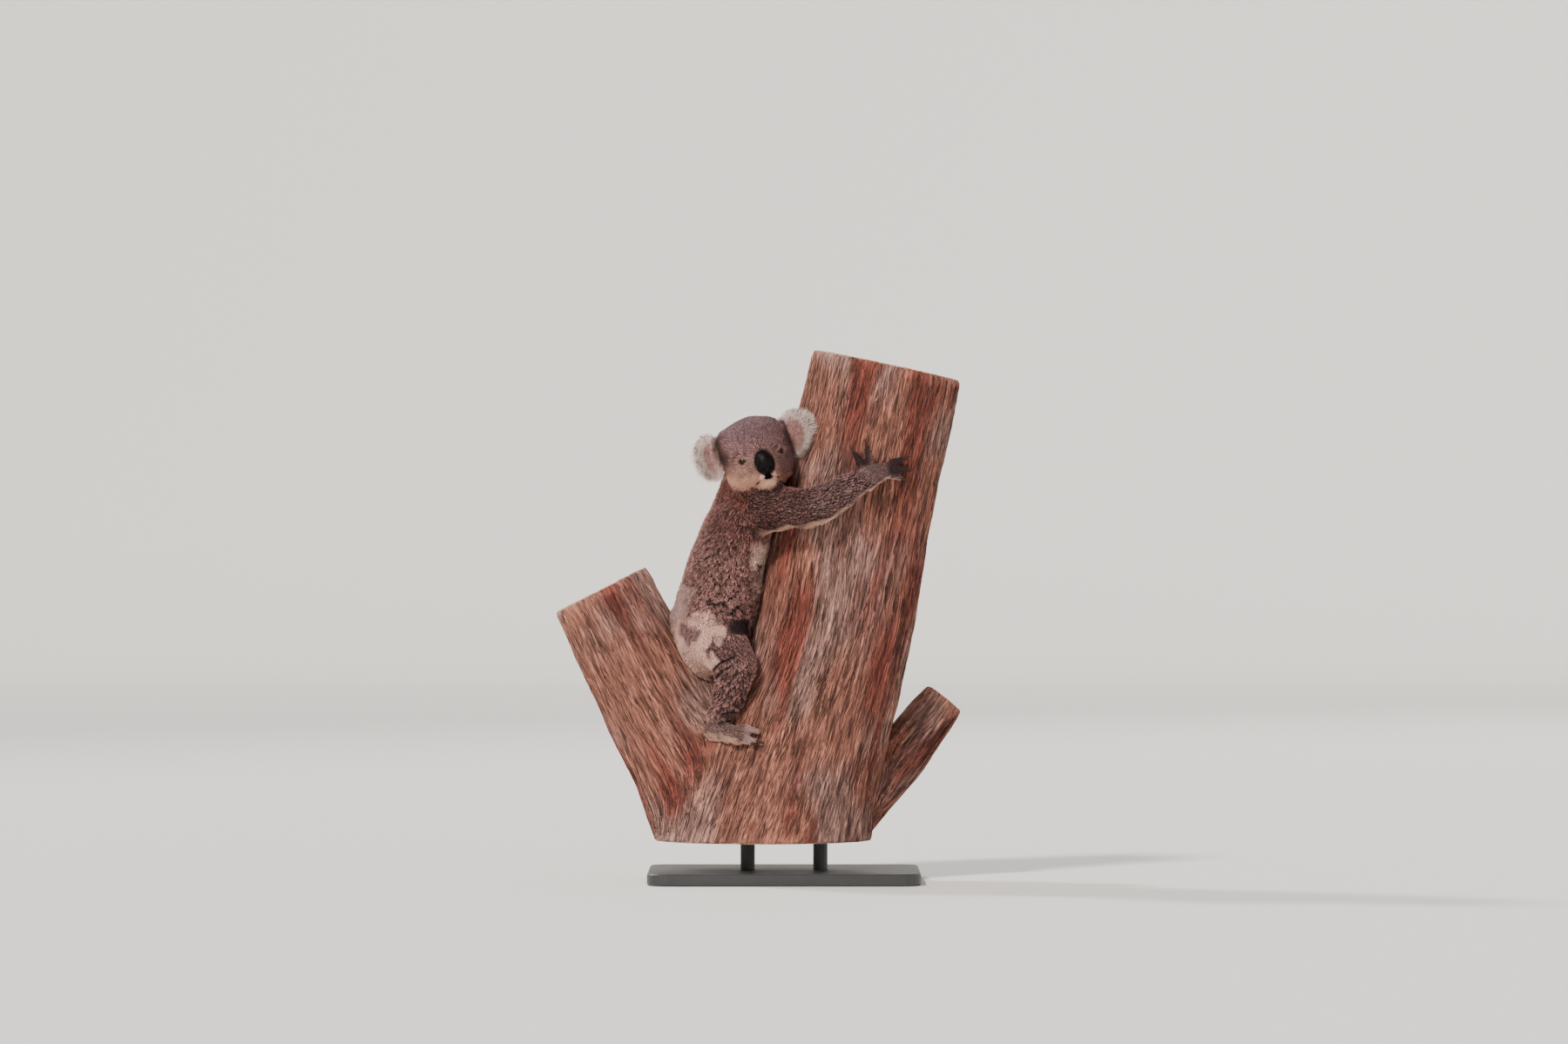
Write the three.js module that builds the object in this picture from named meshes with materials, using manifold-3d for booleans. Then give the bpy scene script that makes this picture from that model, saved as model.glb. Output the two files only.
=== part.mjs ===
// A still, life-size koala (Phascolarctos cinereus) clinging to a forked gum stem.
// The animal is parted into its named body parts, and a cut length of the stem
// stands on a plain display stand.
//
// Millimetres, +Z up. The koala's belly faces +X and its right side faces -Y.
// The origin is the centre of the stand's underside.

import * as THREE from "three";
import { mergeVertices } from "three/addons/utils/BufferGeometryUtils.js";
import { edgeTable, triTable } from "three/addons/objects/MarchingCubes.js";
import Module from "manifold-3d";

const wasm = await Module();
wasm.setup();

const V = (x, y, z) => new THREE.Vector3(x, y, z);
const { clamp, lerp, degToRad } = THREE.MathUtils;

// ---------------------------------------------------------------- dimensions

// Clearances.
const GAP = 0.35; // between pieces that touch
const BARK_GAP = 0.45; // between the animal and the stem
const CUT_WIDTH = 0.6; // of the cuts that part the body
const CRUMB = 500; // mm3, smaller chips of a cut are dropped

// Facet sizes.
const BODY_STEP = V(38, 38, 38);
const BODY_SWELL = 1.25;
const HEAD_STEP = V(17.8, 17.8, 17.8);
const PALM_STEP = V(19, 19, 19);
const PERCH_STEP = V(72, 72, 140);

// Display stand.
const BASE = { length: 560, depth: 420, height: 25, corner: 40, edge: 3 };
const ROD = { radius: 15, height: 60, spread: 75 };
const PERCH_BOTTOM = BASE.height + ROD.height;

// Gum stem: the axis of the main stem, its left limb and its right limb, each as
// points with a radius. The stem leans to the right, and the left limb the other way.
const STEM = [
  { at: V(-60, 0, -50), radius: 238 },
  { at: V(-4, 0, 202), radius: 196 },
  { at: V(50, 0, 338), radius: 174 },
  { at: V(97, 0, 475), radius: 161 },
  { at: V(151, 0, 778), radius: 158 },
  { at: V(220, 0, 1102), radius: 157 },
];
const STEM_DEPTH = 0.92; // of its width
const LEFT_LIMB = [
  { at: V(-95, 6, 94), radius: 130 },
  { at: V(-222, 12, 292), radius: 121 },
  { at: V(-276, 14, 402), radius: 116 },
  { at: V(-348, 16, 540), radius: 108 },
  { at: V(-432, 18, 706), radius: 102 },
];
const RIGHT_LIMB = [
  { at: V(104, 60, 72), radius: 60 },
  { at: V(218, 92, 226), radius: 57 },
  { at: V(382, 110, 437), radius: 56 },
];
const FORK_BLEND = 70;
// Saw cuts across the three ends: a point on the cut, the way the end looks and how
// far the saw reaches.
const SAW_CUTS = [
  { at: V(214, 0, 1066), way: V(0.21, 0, 0.98), radius: 300 },
  { at: V(-380, 14, 602), way: V(-0.45, 0, 0.89), radius: 200 },
  { at: V(340, 105, 371), way: V(0.62, 0.07, 0.78), radius: 90 },
];

// Koala trunk, from the chest down to the rump. A trunk is wider than it is deep.
const MIDLINE = -20;
const TRUNK_WIDTH = 1.22;
const TRUNK = [
  { at: V(-86, MIDLINE, 783), radius: 53 },
  { at: V(-99, MIDLINE, 720), radius: 72 },
  { at: V(-122, MIDLINE, 643), radius: 80 },
  { at: V(-137, MIDLINE, 576), radius: 86 },
  { at: V(-149, MIDLINE, 540), radius: 83 },
  { at: V(-154, MIDLINE, 492), radius: 66 },
  { at: V(-155, MIDLINE, 470), radius: 56 },
];
const NECK = [
  { at: V(-81, -28, 780), radius: 54 },
  { at: V(-61, -69, 849), radius: 60 },
];
const MANTLE = { at: V(-84, MIDLINE, 765), size: V(50, 98, 58) }; // the shoulders' fur
const NECK_CUT = { at: V(-91, -40, 806), way: V(0.24, -0.3, 0.92), radius: 165 };

// Head: its centre, and how it turns towards the right side and tips sideways.
// Lengths inside it are x to its left, -y forward and z up.
const HEAD = { centre: V(-56, -104, 881), turn: degToRad(9), tip: degToRad(-15.3) };
const CRANIUM = { at: V(0, 5, 17), size: V(70, 70, 64) };
const TEMPLE = { at: V(41, 8, 38), size: V(29, 36, 30) };
const CHEEK = { at: V(33, -3, -25), size: V(39, 47, 42) };
const BROW = { at: V(27, -40, 13), size: V(24, 19, 15) };
const MUZZLE = { at: V(0, -50, -32), size: V(33, 36, 29) };
const BRIDGE = {
  from: { at: V(0, -40, 18), radius: 25 },
  to: { at: V(0, -66, -12), radius: 21 },
};
const CHIN = { at: V(0, -50, -54), size: V(22, 25, 17) };
const NOSE = {
  at: V(0, -75, -18), height: 24, halfWidth: 19.5, depth: 16, // the pad's halves
  taper: 0.3, crown: 0.12, lean: 3, // narrower below than above, and forward below
};
const EYE = { at: V(38, -49.5, -4), radius: 9 };
const EAR = {
  at: V(99, 6, 28), halfWidth: 40, halfHeight: 50, thickness: 9,
  cup: 13, splay: degToRad(-28), lean: degToRad(14),
};

// Arms and legs. x and z are the same on both sides, apart from a small shift on the
// left. A joint's y is its distance out from the midline, or comes from the stem's
// surface and the flesh over it.
const ARMPIT_BLEND = 48;
const GROIN_BLEND = 28;
const SHOULDER = { out: 75, x: -63, z: 769, radius: 50 };
const ELBOW = { x: 63, z: 770, radius: 42 };
const FOREARM = { x: 118, z: 803, radius: 34 };
const WRIST = { x: 167, z: 834, radius: 24 };
const KNUCKLES = { x: 205, z: 846, radius: 19 };
const HIP = { out: 66, x: -153, z: 522, radius: 67 };
const KNEE = { out: 115, x: -95, z: 450, radius: 44 };
const ANKLE = { out: 97, x: -126, z: 338, radius: 30 };
const HEEL = { out: 84, x: -139, z: 314, radius: 23 };
const BALL = { x: -92, z: 305, radius: 19 };

// Digits as root, middle and tip (x, z), with the radius at root and tip. Two thumbs
// face three fingers. The hind foot has a big toe with no claw, two joined toes and
// two outer toes.
const FINGERS = [
  { name: "1", way: [[166, 846], [153, 868], [143, 884]], radii: [10, 7.5], claw: 19 },
  { name: "2", way: [[180, 850], [173, 876], [169, 894]], radii: [10, 7.5], claw: 19 },
  { name: "3", way: [[203, 851], [226, 866], [243, 871]], radii: [10.5, 8], claw: 20 },
  { name: "4", way: [[204, 846], [230, 852], [250, 849]], radii: [10.5, 8], claw: 20 },
  { name: "5", way: [[200, 838], [222, 838], [238, 832]], radii: [10, 7.5], claw: 19 },
];
const TOES = [
  { name: "1", way: [[-104, 318], [-74, 321], [-52, 314]], radii: [11, 8.5], claw: 0 },
  { name: "2", way: [[-98, 311], [-84, 309], [-72, 305]], radii: [7.5, 6.5], claw: 14 },
  { name: "3", way: [[-98, 307], [-83, 303], [-71, 299]], radii: [7.5, 6.5], claw: 14 },
  { name: "4", way: [[-102, 304], [-80, 301], [-58, 295]], radii: [10.5, 8], claw: 19 },
  { name: "5", way: [[-106, 301], [-86, 297], [-68, 291]], radii: [10, 7.5], claw: 18 },
];
const CLAW_RADIUS = 3.9;
const CLAW_TIP = 0.6;

const SIDES = [
  { name: "right", side: -1, shift: V(0, 0, 0) },
  { name: "left", side: 1, shift: V(6, 22, 14) },
];

// ----------------------------------------------------------- solids and cuts

// A closed three.js geometry as a solid that can be joined and cut.
function solidOf(geometry) {
  for (const name of ["normal", "uv"]) geometry.deleteAttribute(name);
  const merged = mergeVertices(geometry, 1e-4);
  const position = merged.getAttribute("position");
  const triangles = [];
  for (let i = 0; i < merged.index.count; i += 3) {
    const corner = [0, 1, 2].map((k) => merged.index.getX(i + k));
    if (new Set(corner).size === 3) triangles.push(...corner);
  }
  return new wasm.Manifold(new wasm.Mesh({
    numProp: 3,
    vertProperties: new Float32Array(position.array),
    triVerts: new Uint32Array(triangles),
  }));
}

function geometryOf(solid) {
  const mesh = solid.getMesh();
  const geometry = new THREE.BufferGeometry();
  geometry.setAttribute("position", new THREE.BufferAttribute(mesh.vertProperties, 3));
  geometry.setIndex(new THREE.BufferAttribute(mesh.triVerts, 1));
  geometry.computeVertexNormals();
  return geometry;
}

// The same solid with its surface moved out along its normals.
function grown(solid, distance) {
  const geometry = geometryOf(solid);
  const position = geometry.getAttribute("position");
  const normal = geometry.getAttribute("normal");
  for (let i = 0; i < position.count; i++) {
    const moved = V().fromBufferAttribute(position, i);
    moved.addScaledVector(V().fromBufferAttribute(normal, i), distance);
    position.setXYZ(i, moved.x, moved.y, moved.z);
  }
  return solidOf(geometry);
}

const largest = (solid) =>
  solid.decompose().reduce((a, b) => (a.volume() > b.volume() ? a : b));

const unionOf = (solids) => solids.reduce((joined, solid) => joined.add(solid));

// Turns +Y of a geometry to a direction.
const aim = (way) =>
  new THREE.Quaternion().setFromUnitVectors(V(0, 1, 0), way.clone().normalize());

// Cuts a solid through with a thin disc. Gives the piece nearest to a point, and the rest.
function sever(solid, cut, inside) {
  const disc = new THREE.CylinderGeometry(cut.radius, cut.radius, CUT_WIDTH, 32);
  disc.applyQuaternion(aim(cut.way)).translate(cut.at.x, cut.at.y, cut.at.z);
  const chips = solid.subtract(solidOf(disc)).decompose();
  const pieces = chips.filter((piece) => piece.volume() > CRUMB);
  const far = (piece) => {
    const box = piece.boundingBox();
    return V(...box.min).add(V(...box.max)).multiplyScalar(0.5).distanceTo(inside);
  };
  pieces.sort((a, b) => far(a) - far(b));
  return [pieces[0], unionOf(pieces.slice(1))];
}

// --------------------------------------------------------- rounded surfaces

// Distance to a round bar from a to b.
function toBar(p, a, b) {
  const along = b.at.clone().sub(a.at);
  const t = clamp(p.clone().sub(a.at).dot(along) / along.lengthSq(), 0, 1);
  return p.distanceTo(a.at.clone().addScaledVector(along, t)) - lerp(a.radius, b.radius, t);
}

// Distance to a chain of round bars.
function toChain(p, stations) {
  let nearest = Infinity;
  for (let i = 1; i < stations.length; i++) {
    nearest = Math.min(nearest, toBar(p, stations[i - 1], stations[i]));
  }
  return nearest;
}

// Distance to an ellipsoid, close to its surface.
function toEgg(p, egg) {
  const q = p.clone().sub(egg.at);
  const scaled = q.clone().divide(egg.size).length();
  const slope = q.clone().divide(egg.size).divide(egg.size).length();
  if (slope === 0) return -Math.min(...egg.size.toArray());
  return (scaled * (scaled - 1)) / slope;
}

// Two distances joined with a fillet.
function blend(a, b, width) {
  const h = Math.max(width - Math.abs(a - b), 0) / width;
  return Math.min(a, b) - (h * h * width) / 4;
}

function slopeOf(field, p) {
  const e = 0.5;
  return V(
    field(V(p.x + e, p.y, p.z)) - field(V(p.x - e, p.y, p.z)),
    field(V(p.x, p.y + e, p.z)) - field(V(p.x, p.y - e, p.z)),
    field(V(p.x, p.y, p.z + e)) - field(V(p.x, p.y, p.z - e)),
  ).divideScalar(2 * e);
}

// Moves a point onto the surface where the field is zero.
function settle(field, p) {
  const slope = slopeOf(field, p);
  return p.addScaledVector(slope, -field(p) / Math.max(slope.lengthSq(), 0.1));
}

// Cube corners and edges, in the order of the marching cubes tables.
const CORNERS = [
  [0, 0, 0], [1, 0, 0], [1, 1, 0], [0, 1, 0], [0, 0, 1], [1, 0, 1], [1, 1, 1], [0, 1, 1],
];
const EDGES = [
  [0, 1], [1, 2], [2, 3], [3, 0], [4, 5], [5, 6], [6, 7], [7, 4], [0, 4], [1, 5], [2, 6], [3, 7],
];

// The surface of a field inside a box, as a closed solid with even facets. The swell
// moves its corners out a little, so that the flats between them lie on the surface.
function skinOf(shape, low, high, step, swell = 0) {
  const field = (p) => shape(p) - swell;
  const count = high.clone().sub(low).divide(step).ceil();
  const place = (i, j, k) => V(i, j, k).multiply(step).add(low);
  const idOf = (i, j, k) => i + (count.x + 1) * (j + (count.y + 1) * k);
  const value = new Map();
  for (let k = 0; k <= count.z; k++)
    for (let j = 0; j <= count.y; j++)
      for (let i = 0; i <= count.x; i++) value.set(idOf(i, j, k), field(place(i, j, k)));

  const points = [];
  const pointOf = new Map();
  const triangles = [];
  const edgePoint = (cell, edge) => {
    const [a, b] = EDGES[edge].map((c) => CORNERS[c].map((d, axis) => cell[axis] + d));
    const [ida, idb] = [idOf(...a), idOf(...b)];
    const key = `${Math.min(ida, idb)} ${Math.max(ida, idb)}`;
    if (!pointOf.has(key)) {
      const [da, db] = [value.get(ida), value.get(idb)];
      pointOf.set(key, points.length);
      points.push(place(...a).lerp(place(...b), clamp(da / (da - db), 0.15, 0.85)));
    }
    return pointOf.get(key);
  };
  for (let k = 0; k < count.z; k++)
    for (let j = 0; j < count.y; j++)
      for (let i = 0; i < count.x; i++) {
        const outside = CORNERS.map(([x, y, z]) => value.get(idOf(i + x, j + y, k + z)) > 0);
        const kind = outside.reduce((sum, out, c) => sum + (out ? 1 << c : 0), 0);
        if (edgeTable[kind] === 0) continue;
        for (let t = kind * 16; triTable[t] !== -1; t += 3) {
          triangles.push([2, 1, 0].map((c) => edgePoint([i, j, k], triTable[t + c])));
        }
      }

  const neighbours = points.map(() => new Set());
  for (const [a, b, c] of triangles) {
    neighbours[a].add(b).add(c);
    neighbours[b].add(a).add(c);
    neighbours[c].add(a).add(b);
  }
  const rounds = 8;
  for (let round = 0; round < rounds; round++) {
    const middles = neighbours.map((near) =>
      [...near].reduce((sum, n) => sum.add(points[n]), V(0, 0, 0)).divideScalar(near.size));
    points.forEach((p, n) => settle(field, p.lerp(middles[n], 0.5)));
  }

  const geometry = new THREE.BufferGeometry().setFromPoints(points);
  geometry.setIndex(triangles.flat());
  const solid = solidOf(geometry);
  if (solid.volume() > 0) return solid;
  geometry.setIndex(triangles.map((t) => [...t].reverse()).flat());
  return solidOf(geometry);
}

// A round tapered horn or digit along a curve, with rounded ends.
function taperedAlong(points, radii, sides, steps) {
  const curve = new THREE.CatmullRomCurve3(points);
  const length = curve.getLength();
  const profile = [new THREE.Vector2(0, 0)];
  for (let i = 0; i <= steps; i++) {
    const t = i / steps;
    const shrink = i === 0 || i === steps ? 0.72 : 1;
    profile.push(new THREE.Vector2(lerp(radii[0], radii[1], t) * shrink, lerp(0.04, 0.96, t)));
  }
  profile.push(new THREE.Vector2(0, 1));
  const geometry = new THREE.LatheGeometry(profile, sides);
  const position = geometry.getAttribute("position");
  const overshoot = [radii[0], radii[1]].map((r) => (0.3 * r) / length);
  for (let i = 0; i < position.count; i++) {
    const local = V().fromBufferAttribute(position, i);
    const t = lerp(-overshoot[0], 1 + overshoot[1], local.y);
    const at = curve.getPointAt(clamp(t, 0, 1));
    const way = curve.getTangentAt(clamp(t, 0, 1));
    at.addScaledVector(way, (t - clamp(t, 0, 1)) * length);
    at.add(V(local.x, 0, local.z).applyQuaternion(aim(way)));
    position.setXYZ(i, at.x, at.y, at.z);
  }
  return solidOf(geometry);
}

// -------------------------------------------------------------------- stem

const forkField = (p) => {
  const stem = toChain(V(p.x, p.y / STEM_DEPTH, p.z), STEM);
  return blend(stem, toChain(p, LEFT_LIMB), FORK_BLEND);
};

function makePerch() {
  const stations = [...STEM, ...LEFT_LIMB].map((station) => station.at);
  const fork = skinOf(forkField, ...around(stations, 245), PERCH_STEP);
  const way = RIGHT_LIMB.map((station) => station.at);
  const radii = [RIGHT_LIMB[0].radius, RIGHT_LIMB.at(-1).radius];
  const log = fork.add(taperedAlong(way, radii, 10, 2));
  const offcut = 300;
  const sawn = SAW_CUTS.reduce((left, { at, way, radius }) => {
    const end = new THREE.CylinderGeometry(radius, radius, offcut, 24);
    end.translate(0, offcut / 2, 0).applyQuaternion(aim(way)).translate(at.x, at.y, at.z);
    return left.subtract(solidOf(end));
  }, log);
  return largest(sawn.trimByPlane([0, 0, 1], PERCH_BOTTOM));
}

// A point beside the stem, at x and z, a distance off its bark.
function beside(x, z, side, distance) {
  let [inner, outer] = [0, side * 420];
  for (let i = 0; i < 30; i++) {
    const middle = (inner + outer) / 2;
    if (forkField(V(x, middle, z)) > distance) outer = middle;
    else inner = middle;
  }
  return V(x, inner, z);
}

// -------------------------------------------------------------------- head

const headTurn = new THREE.Quaternion()
  .setFromAxisAngle(V(0, 0, 1), HEAD.turn)
  .multiply(new THREE.Quaternion().setFromAxisAngle(V(0, 1, 0), HEAD.tip));
const fromHead = (p) => p.clone().applyQuaternion(headTurn).add(HEAD.centre);
const toHead = (p) => p.clone().sub(HEAD.centre).applyQuaternion(headTurn.clone().invert());

const headField = (p) => {
  const q = toHead(p);
  const half = V(Math.abs(q.x), q.y, q.z); // the head is the same on both sides
  let d = toEgg(q, CRANIUM);
  d = blend(d, toEgg(half, TEMPLE), 14);
  d = blend(d, toEgg(half, CHEEK), 26);
  d = blend(d, toEgg(half, BROW), 16);
  const bridge = toBar(q, BRIDGE.from, BRIDGE.to);
  const snout = blend(toEgg(q, MUZZLE), bridge, 14);
  d = blend(d, snout, 20);
  return blend(d, toEgg(q, CHIN), 14);
};

// A unit sphere with its points moved by a function of their place on it.
function shapedBall(around, rows, move) {
  const geometry = new THREE.SphereGeometry(1, around, rows);
  const position = geometry.getAttribute("position");
  for (let i = 0; i < position.count; i++) {
    const moved = move(V().fromBufferAttribute(position, i));
    position.setXYZ(i, moved.x, moved.y, moved.z);
  }
  const solid = solidOf(geometry);
  if (solid.volume() > 0) return solid;
  geometry.setIndex([...geometry.index.array].reverse());
  return solidOf(geometry);
}

// An ear is a round cupped plate. mirror is 1 for the left ear and -1 for the right.
const earTurn = new THREE.Quaternion()
  .setFromEuler(new THREE.Euler(0, EAR.lean, EAR.splay, "ZYX"));

function makeEar(mirror) {
  return shapedBall(14, 8, (p) => {
    const rim = Math.hypot(p.x, p.z);
    const wall = EAR.thickness * Math.sign(p.y) * Math.abs(p.y) ** 0.8;
    const hollow = wall - EAR.cup * (rim * rim - 0.5);
    const place = V(p.x * EAR.halfWidth, hollow, p.z * EAR.halfHeight);
    place.applyQuaternion(earTurn).add(EAR.at);
    place.x *= mirror;
    return fromHead(place);
  });
}

function makeNose(extra) {
  return shapedBall(12, 8, (p) => {
    const narrowing = NOSE.taper * clamp(-p.y, 0, 1) + NOSE.crown * clamp(p.y, 0, 1);
    const place = V(
      p.x * (NOSE.halfWidth + extra) * (1 - narrowing),
      p.z * (NOSE.depth + extra) + NOSE.lean * p.y,
      p.y * (NOSE.height + extra),
    );
    return fromHead(place.add(NOSE.at));
  });
}

function makeEye(mirror, extra) {
  const at = fromHead(V(EYE.at.x * mirror, EYE.at.y, EYE.at.z));
  const ball = new THREE.SphereGeometry(EYE.radius + extra, 10, 6);
  return solidOf(ball.translate(at.x, at.y, at.z));
}

// ------------------------------------------------------------------- limbs

const out = ({ x, z, out: distance }, side, shift) =>
  V(x + shift.x, MIDLINE + side * (distance + shift.y), z + shift.z);

function skeleton({ side, shift }) {
  const joint = ({ x, z, radius }, off) => ({ at: beside(x + shift.x, z + shift.z, side, off), radius });
  const free = (spec) => ({ at: out(spec, side, shift), radius: spec.radius });
  return {
    shoulder: { at: out(SHOULDER, side, V(0, 0, 0)), radius: SHOULDER.radius },
    elbow: joint(ELBOW, ELBOW.radius + 4),
    forearm: joint(FOREARM, FOREARM.radius - 2),
    wrist: joint(WRIST, WRIST.radius),
    knuckles: joint(KNUCKLES, KNUCKLES.radius - 2),
    hip: { at: out(HIP, side, V(0, 0, 0)), radius: HIP.radius },
    knee: free(KNEE),
    ankle: free(ANKLE),
    heel: free(HEEL),
    ball: joint(BALL, BALL.radius - 1),
  };
}
const LIMBS = SIDES.map(skeleton);

const trunkField = (p) => {
  const q = V(p.x, MIDLINE + (p.y - MIDLINE) / TRUNK_WIDTH, p.z);
  return blend(blend(toChain(q, TRUNK), toChain(p, NECK), 24), toEgg(p, MANTLE), 20);
};

const bodyField = (p) => {
  let d = trunkField(p);
  for (const limb of LIMBS) {
    d = blend(d, toChain(p, [limb.shoulder, limb.elbow, limb.forearm, limb.wrist]), ARMPIT_BLEND);
    d = blend(d, toChain(p, [limb.hip, limb.knee, limb.ankle]), GROIN_BLEND);
  }
  return d;
};

// Points along a digit, off the bark by its radius and arched in the middle.
function digitPath(digit, { side, shift }) {
  const lift = [digit.radii[0] + 4, digit.radii[0] + 3, digit.radii[1] + 0.5];
  return digit.way.map(([x, z], i) => beside(x + shift.x, z + shift.z, side, lift[i]));
}

// A claw grows from the upper side of a digit's tip and curves down to the bark.
function makeClaw(digit, where) {
  const [, middle, tip] = digitPath(digit, where);
  const way = tip.clone().sub(middle).normalize();
  const off = slopeOf(forkField, tip).normalize();
  const root = tip.clone().addScaledVector(way, digit.radii[1] - 7).addScaledVector(off, 1.5);
  const knee = root.clone().addScaledVector(way, 0.55 * digit.claw).addScaledVector(off, 2.2);
  const point = root.clone().addScaledVector(way, digit.claw).addScaledVector(off, -5.5);
  return taperedAlong([root, knee, point], [CLAW_RADIUS, CLAW_TIP], 4, 2);
}

const makeDigit = (digit, where) => taperedAlong(digitPath(digit, where), digit.radii, 6, 2);

const around = (points, margin) => {
  const box = new THREE.Box3().setFromPoints(points).expandByScalar(margin);
  return [box.min, box.max];
};

const between = (a, b, t) => a.at.clone().lerp(b.at, t);

function makeHand(limb, where) {
  const heel = { at: between(limb.wrist, limb.knuckles, 0.12), radius: limb.wrist.radius - 0.5 };
  const palm = (p) => toBar(p, heel, limb.knuckles);
  const block = skinOf(palm, ...around([limb.wrist.at, limb.knuckles.at], 34), PALM_STEP);
  return [block, ...FINGERS.map((digit) => makeDigit(digit, where))];
}

function makeFoot(limb, where) {
  const ankle = { at: between(limb.ankle, limb.heel, 0.6), radius: 25 };
  const instep = (p) => blend(toBar(p, ankle, limb.heel), toBar(p, limb.heel, limb.ball), 14);
  const reach = around([limb.ankle.at, limb.heel.at, limb.ball.at], 36);
  const block = skinOf(instep, ...reach, PALM_STEP);
  return [block, ...TOES.map((digit) => makeDigit(digit, where))];
}

// ------------------------------------------------------------------ pieces

const koala = new THREE.Group();

const finish = (color, roughness) =>
  new THREE.MeshStandardMaterial({ color, roughness, metalness: 0 });
const GREY_FUR = finish("#7b5f5c", 0.95);
const PALE_FUR = finish("#c9aca4", 0.95);
const DARK_FUR = finish("#5d4644", 0.95);
const BARK = finish("#8a6058", 0.9);
const HORN = finish("#2b2422", 0.4);
const NOSE_SKIN = finish("#1d1517", 0.45);
const EYE_GLOSS = finish("#2a150c", 0.1);
const STAND_PAINT = finish("#3b3b3d", 0.5);

function add(name, solid, material) {
  const mesh = new THREE.Mesh(geometryOf(largest(solid)), material);
  mesh.name = name;
  koala.add(mesh);
}

const perch = makePerch();
const bark = grown(perch, BARK_GAP);
add("perch", perch, BARK);

// Head and what sits on it.
const nose = makeNose(0);
const MIRRORS = [{ name: "right", mirror: -1 }, { name: "left", mirror: 1 }];
const headWhole = skinOf(headField, ...around([HEAD.centre], 135), HEAD_STEP);
let head = headWhole.subtract(makeNose(GAP)).subtract(bark);
for (const { name, mirror } of MIRRORS) {
  head = head.subtract(makeEye(mirror, GAP));
  add(`ear_${name}`, makeEar(mirror).subtract(grown(headWhole, GAP)).subtract(bark), PALE_FUR);
  add(`eye_${name}`, makeEye(mirror, 0), EYE_GLOSS);
}
add("nose", nose, NOSE_SKIN);
add("head", head, GREY_FUR);

// Trunk, neck, arms and legs are one surface, parted by thin cuts.
const reach = LIMBS.flatMap((limb) => [limb.elbow.at, limb.wrist.at, limb.knee.at, limb.ankle.at]);
const spine = [...TRUNK, ...NECK].map((station) => station.at);
let body = skinOf(bodyField, ...around([...reach, ...spine], 110), BODY_STEP, BODY_SWELL);
body = body.subtract(grown(headWhole, GAP)).subtract(bark);
for (const { mirror } of MIRRORS) body = body.subtract(grown(makeEar(mirror), GAP));

SIDES.forEach((where, i) => {
  const paws = [
    { name: "hand", pieces: makeHand(LIMBS[i], where), digits: FINGERS },
    { name: "foot", pieces: makeFoot(LIMBS[i], where), digits: TOES.filter((toe) => toe.claw > 0) },
  ];
  for (const { name, pieces, digits } of paws) {
    const room = unionOf(pieces.map((piece) => grown(piece, GAP)));
    body = body.subtract(room);
    add(`${name}_${where.name}`, unionOf(pieces).subtract(bark), DARK_FUR);
    for (const digit of digits) {
      const claw = makeClaw(digit, where).subtract(room).subtract(bark);
      add(`claw_${name}_${where.name}_${digit.name}`, claw, HORN);
    }
  }
});

function part(name, { at, way, radius }, inside, material) {
  const [piece, rest] = sever(body, { at, way, radius }, inside);
  add(name, piece, material);
  body = rest;
}

// The way across a joint, halfway between the two bones that meet there.
const along = (a, b) => b.at.clone().sub(a.at).normalize();
const across = (a, b, c) => along(a, b).add(along(b, c));

SIDES.forEach(({ name, side }, i) => {
  const { shoulder, elbow, forearm, wrist, hip, knee, ankle } = LIMBS[i];
  const cuts = {
    elbow: { at: elbow.at, way: across(shoulder, elbow, wrist), radius: 80 },
    shoulder: { at: between(shoulder, elbow, 0.14), way: along(shoulder, elbow), radius: 118 },
    knee: { at: knee.at, way: across(hip, knee, ankle), radius: 90 },
    hip: { at: between(hip, knee, 0.42), way: V(0.45, 0.75 * side, -0.48), radius: 95 },
  };
  part(`forearm_${name}`, cuts.elbow, between(forearm, wrist, 0.2), GREY_FUR);
  part(`upper_arm_${name}`, cuts.shoulder, between(shoulder, elbow, 0.6), GREY_FUR);
  part(`shin_${name}`, cuts.knee, between(knee, ankle, 0.55), GREY_FUR);
  part(`thigh_${name}`, cuts.hip, between(hip, knee, 0.8), PALE_FUR);
});
part("neck", NECK_CUT, NECK[1].at, DARK_FUR);
add("torso", body, GREY_FUR);

// ------------------------------------------------------------------- stand

function makeBase() {
  const [halfLength, halfDepth] = [BASE.length / 2 - BASE.edge, BASE.depth / 2 - BASE.edge];
  const outline = new THREE.Shape();
  const corners = [[1, -1, -90], [1, 1, 0], [-1, 1, 90], [-1, -1, 180]];
  for (const [sx, sy, from] of corners) {
    const centre = [sx * (halfLength - BASE.corner), sy * (halfDepth - BASE.corner)];
    outline.absarc(...centre, BASE.corner, degToRad(from), degToRad(from + 90), false);
  }
  return new THREE.ExtrudeGeometry(outline, {
    depth: BASE.height - 2 * BASE.edge, curveSegments: 3, steps: 1,
    bevelThickness: BASE.edge, bevelSize: BASE.edge, bevelSegments: 1,
  }).translate(0, 0, BASE.edge);
}

add("stand_base", solidOf(makeBase()), STAND_PAINT);
[-1, 1].forEach((side, i) => {
  const rod = new THREE.CylinderGeometry(ROD.radius, ROD.radius, ROD.height - 2 * GAP, 12);
  rod.rotateX(Math.PI / 2).translate(side * ROD.spread, 0, BASE.height + ROD.height / 2);
  add(`stand_rod_${i + 1}`, solidOf(rod), STAND_PAINT);
});

export default koala;
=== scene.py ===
"""A life-size koala on a forked gum stem: skin, coat, eyes, nose, claws, bark and stand.

Metres, +Z up. The koala's belly faces +X; its face and its right flank look to -Y.
"""

import itertools
import math

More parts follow.
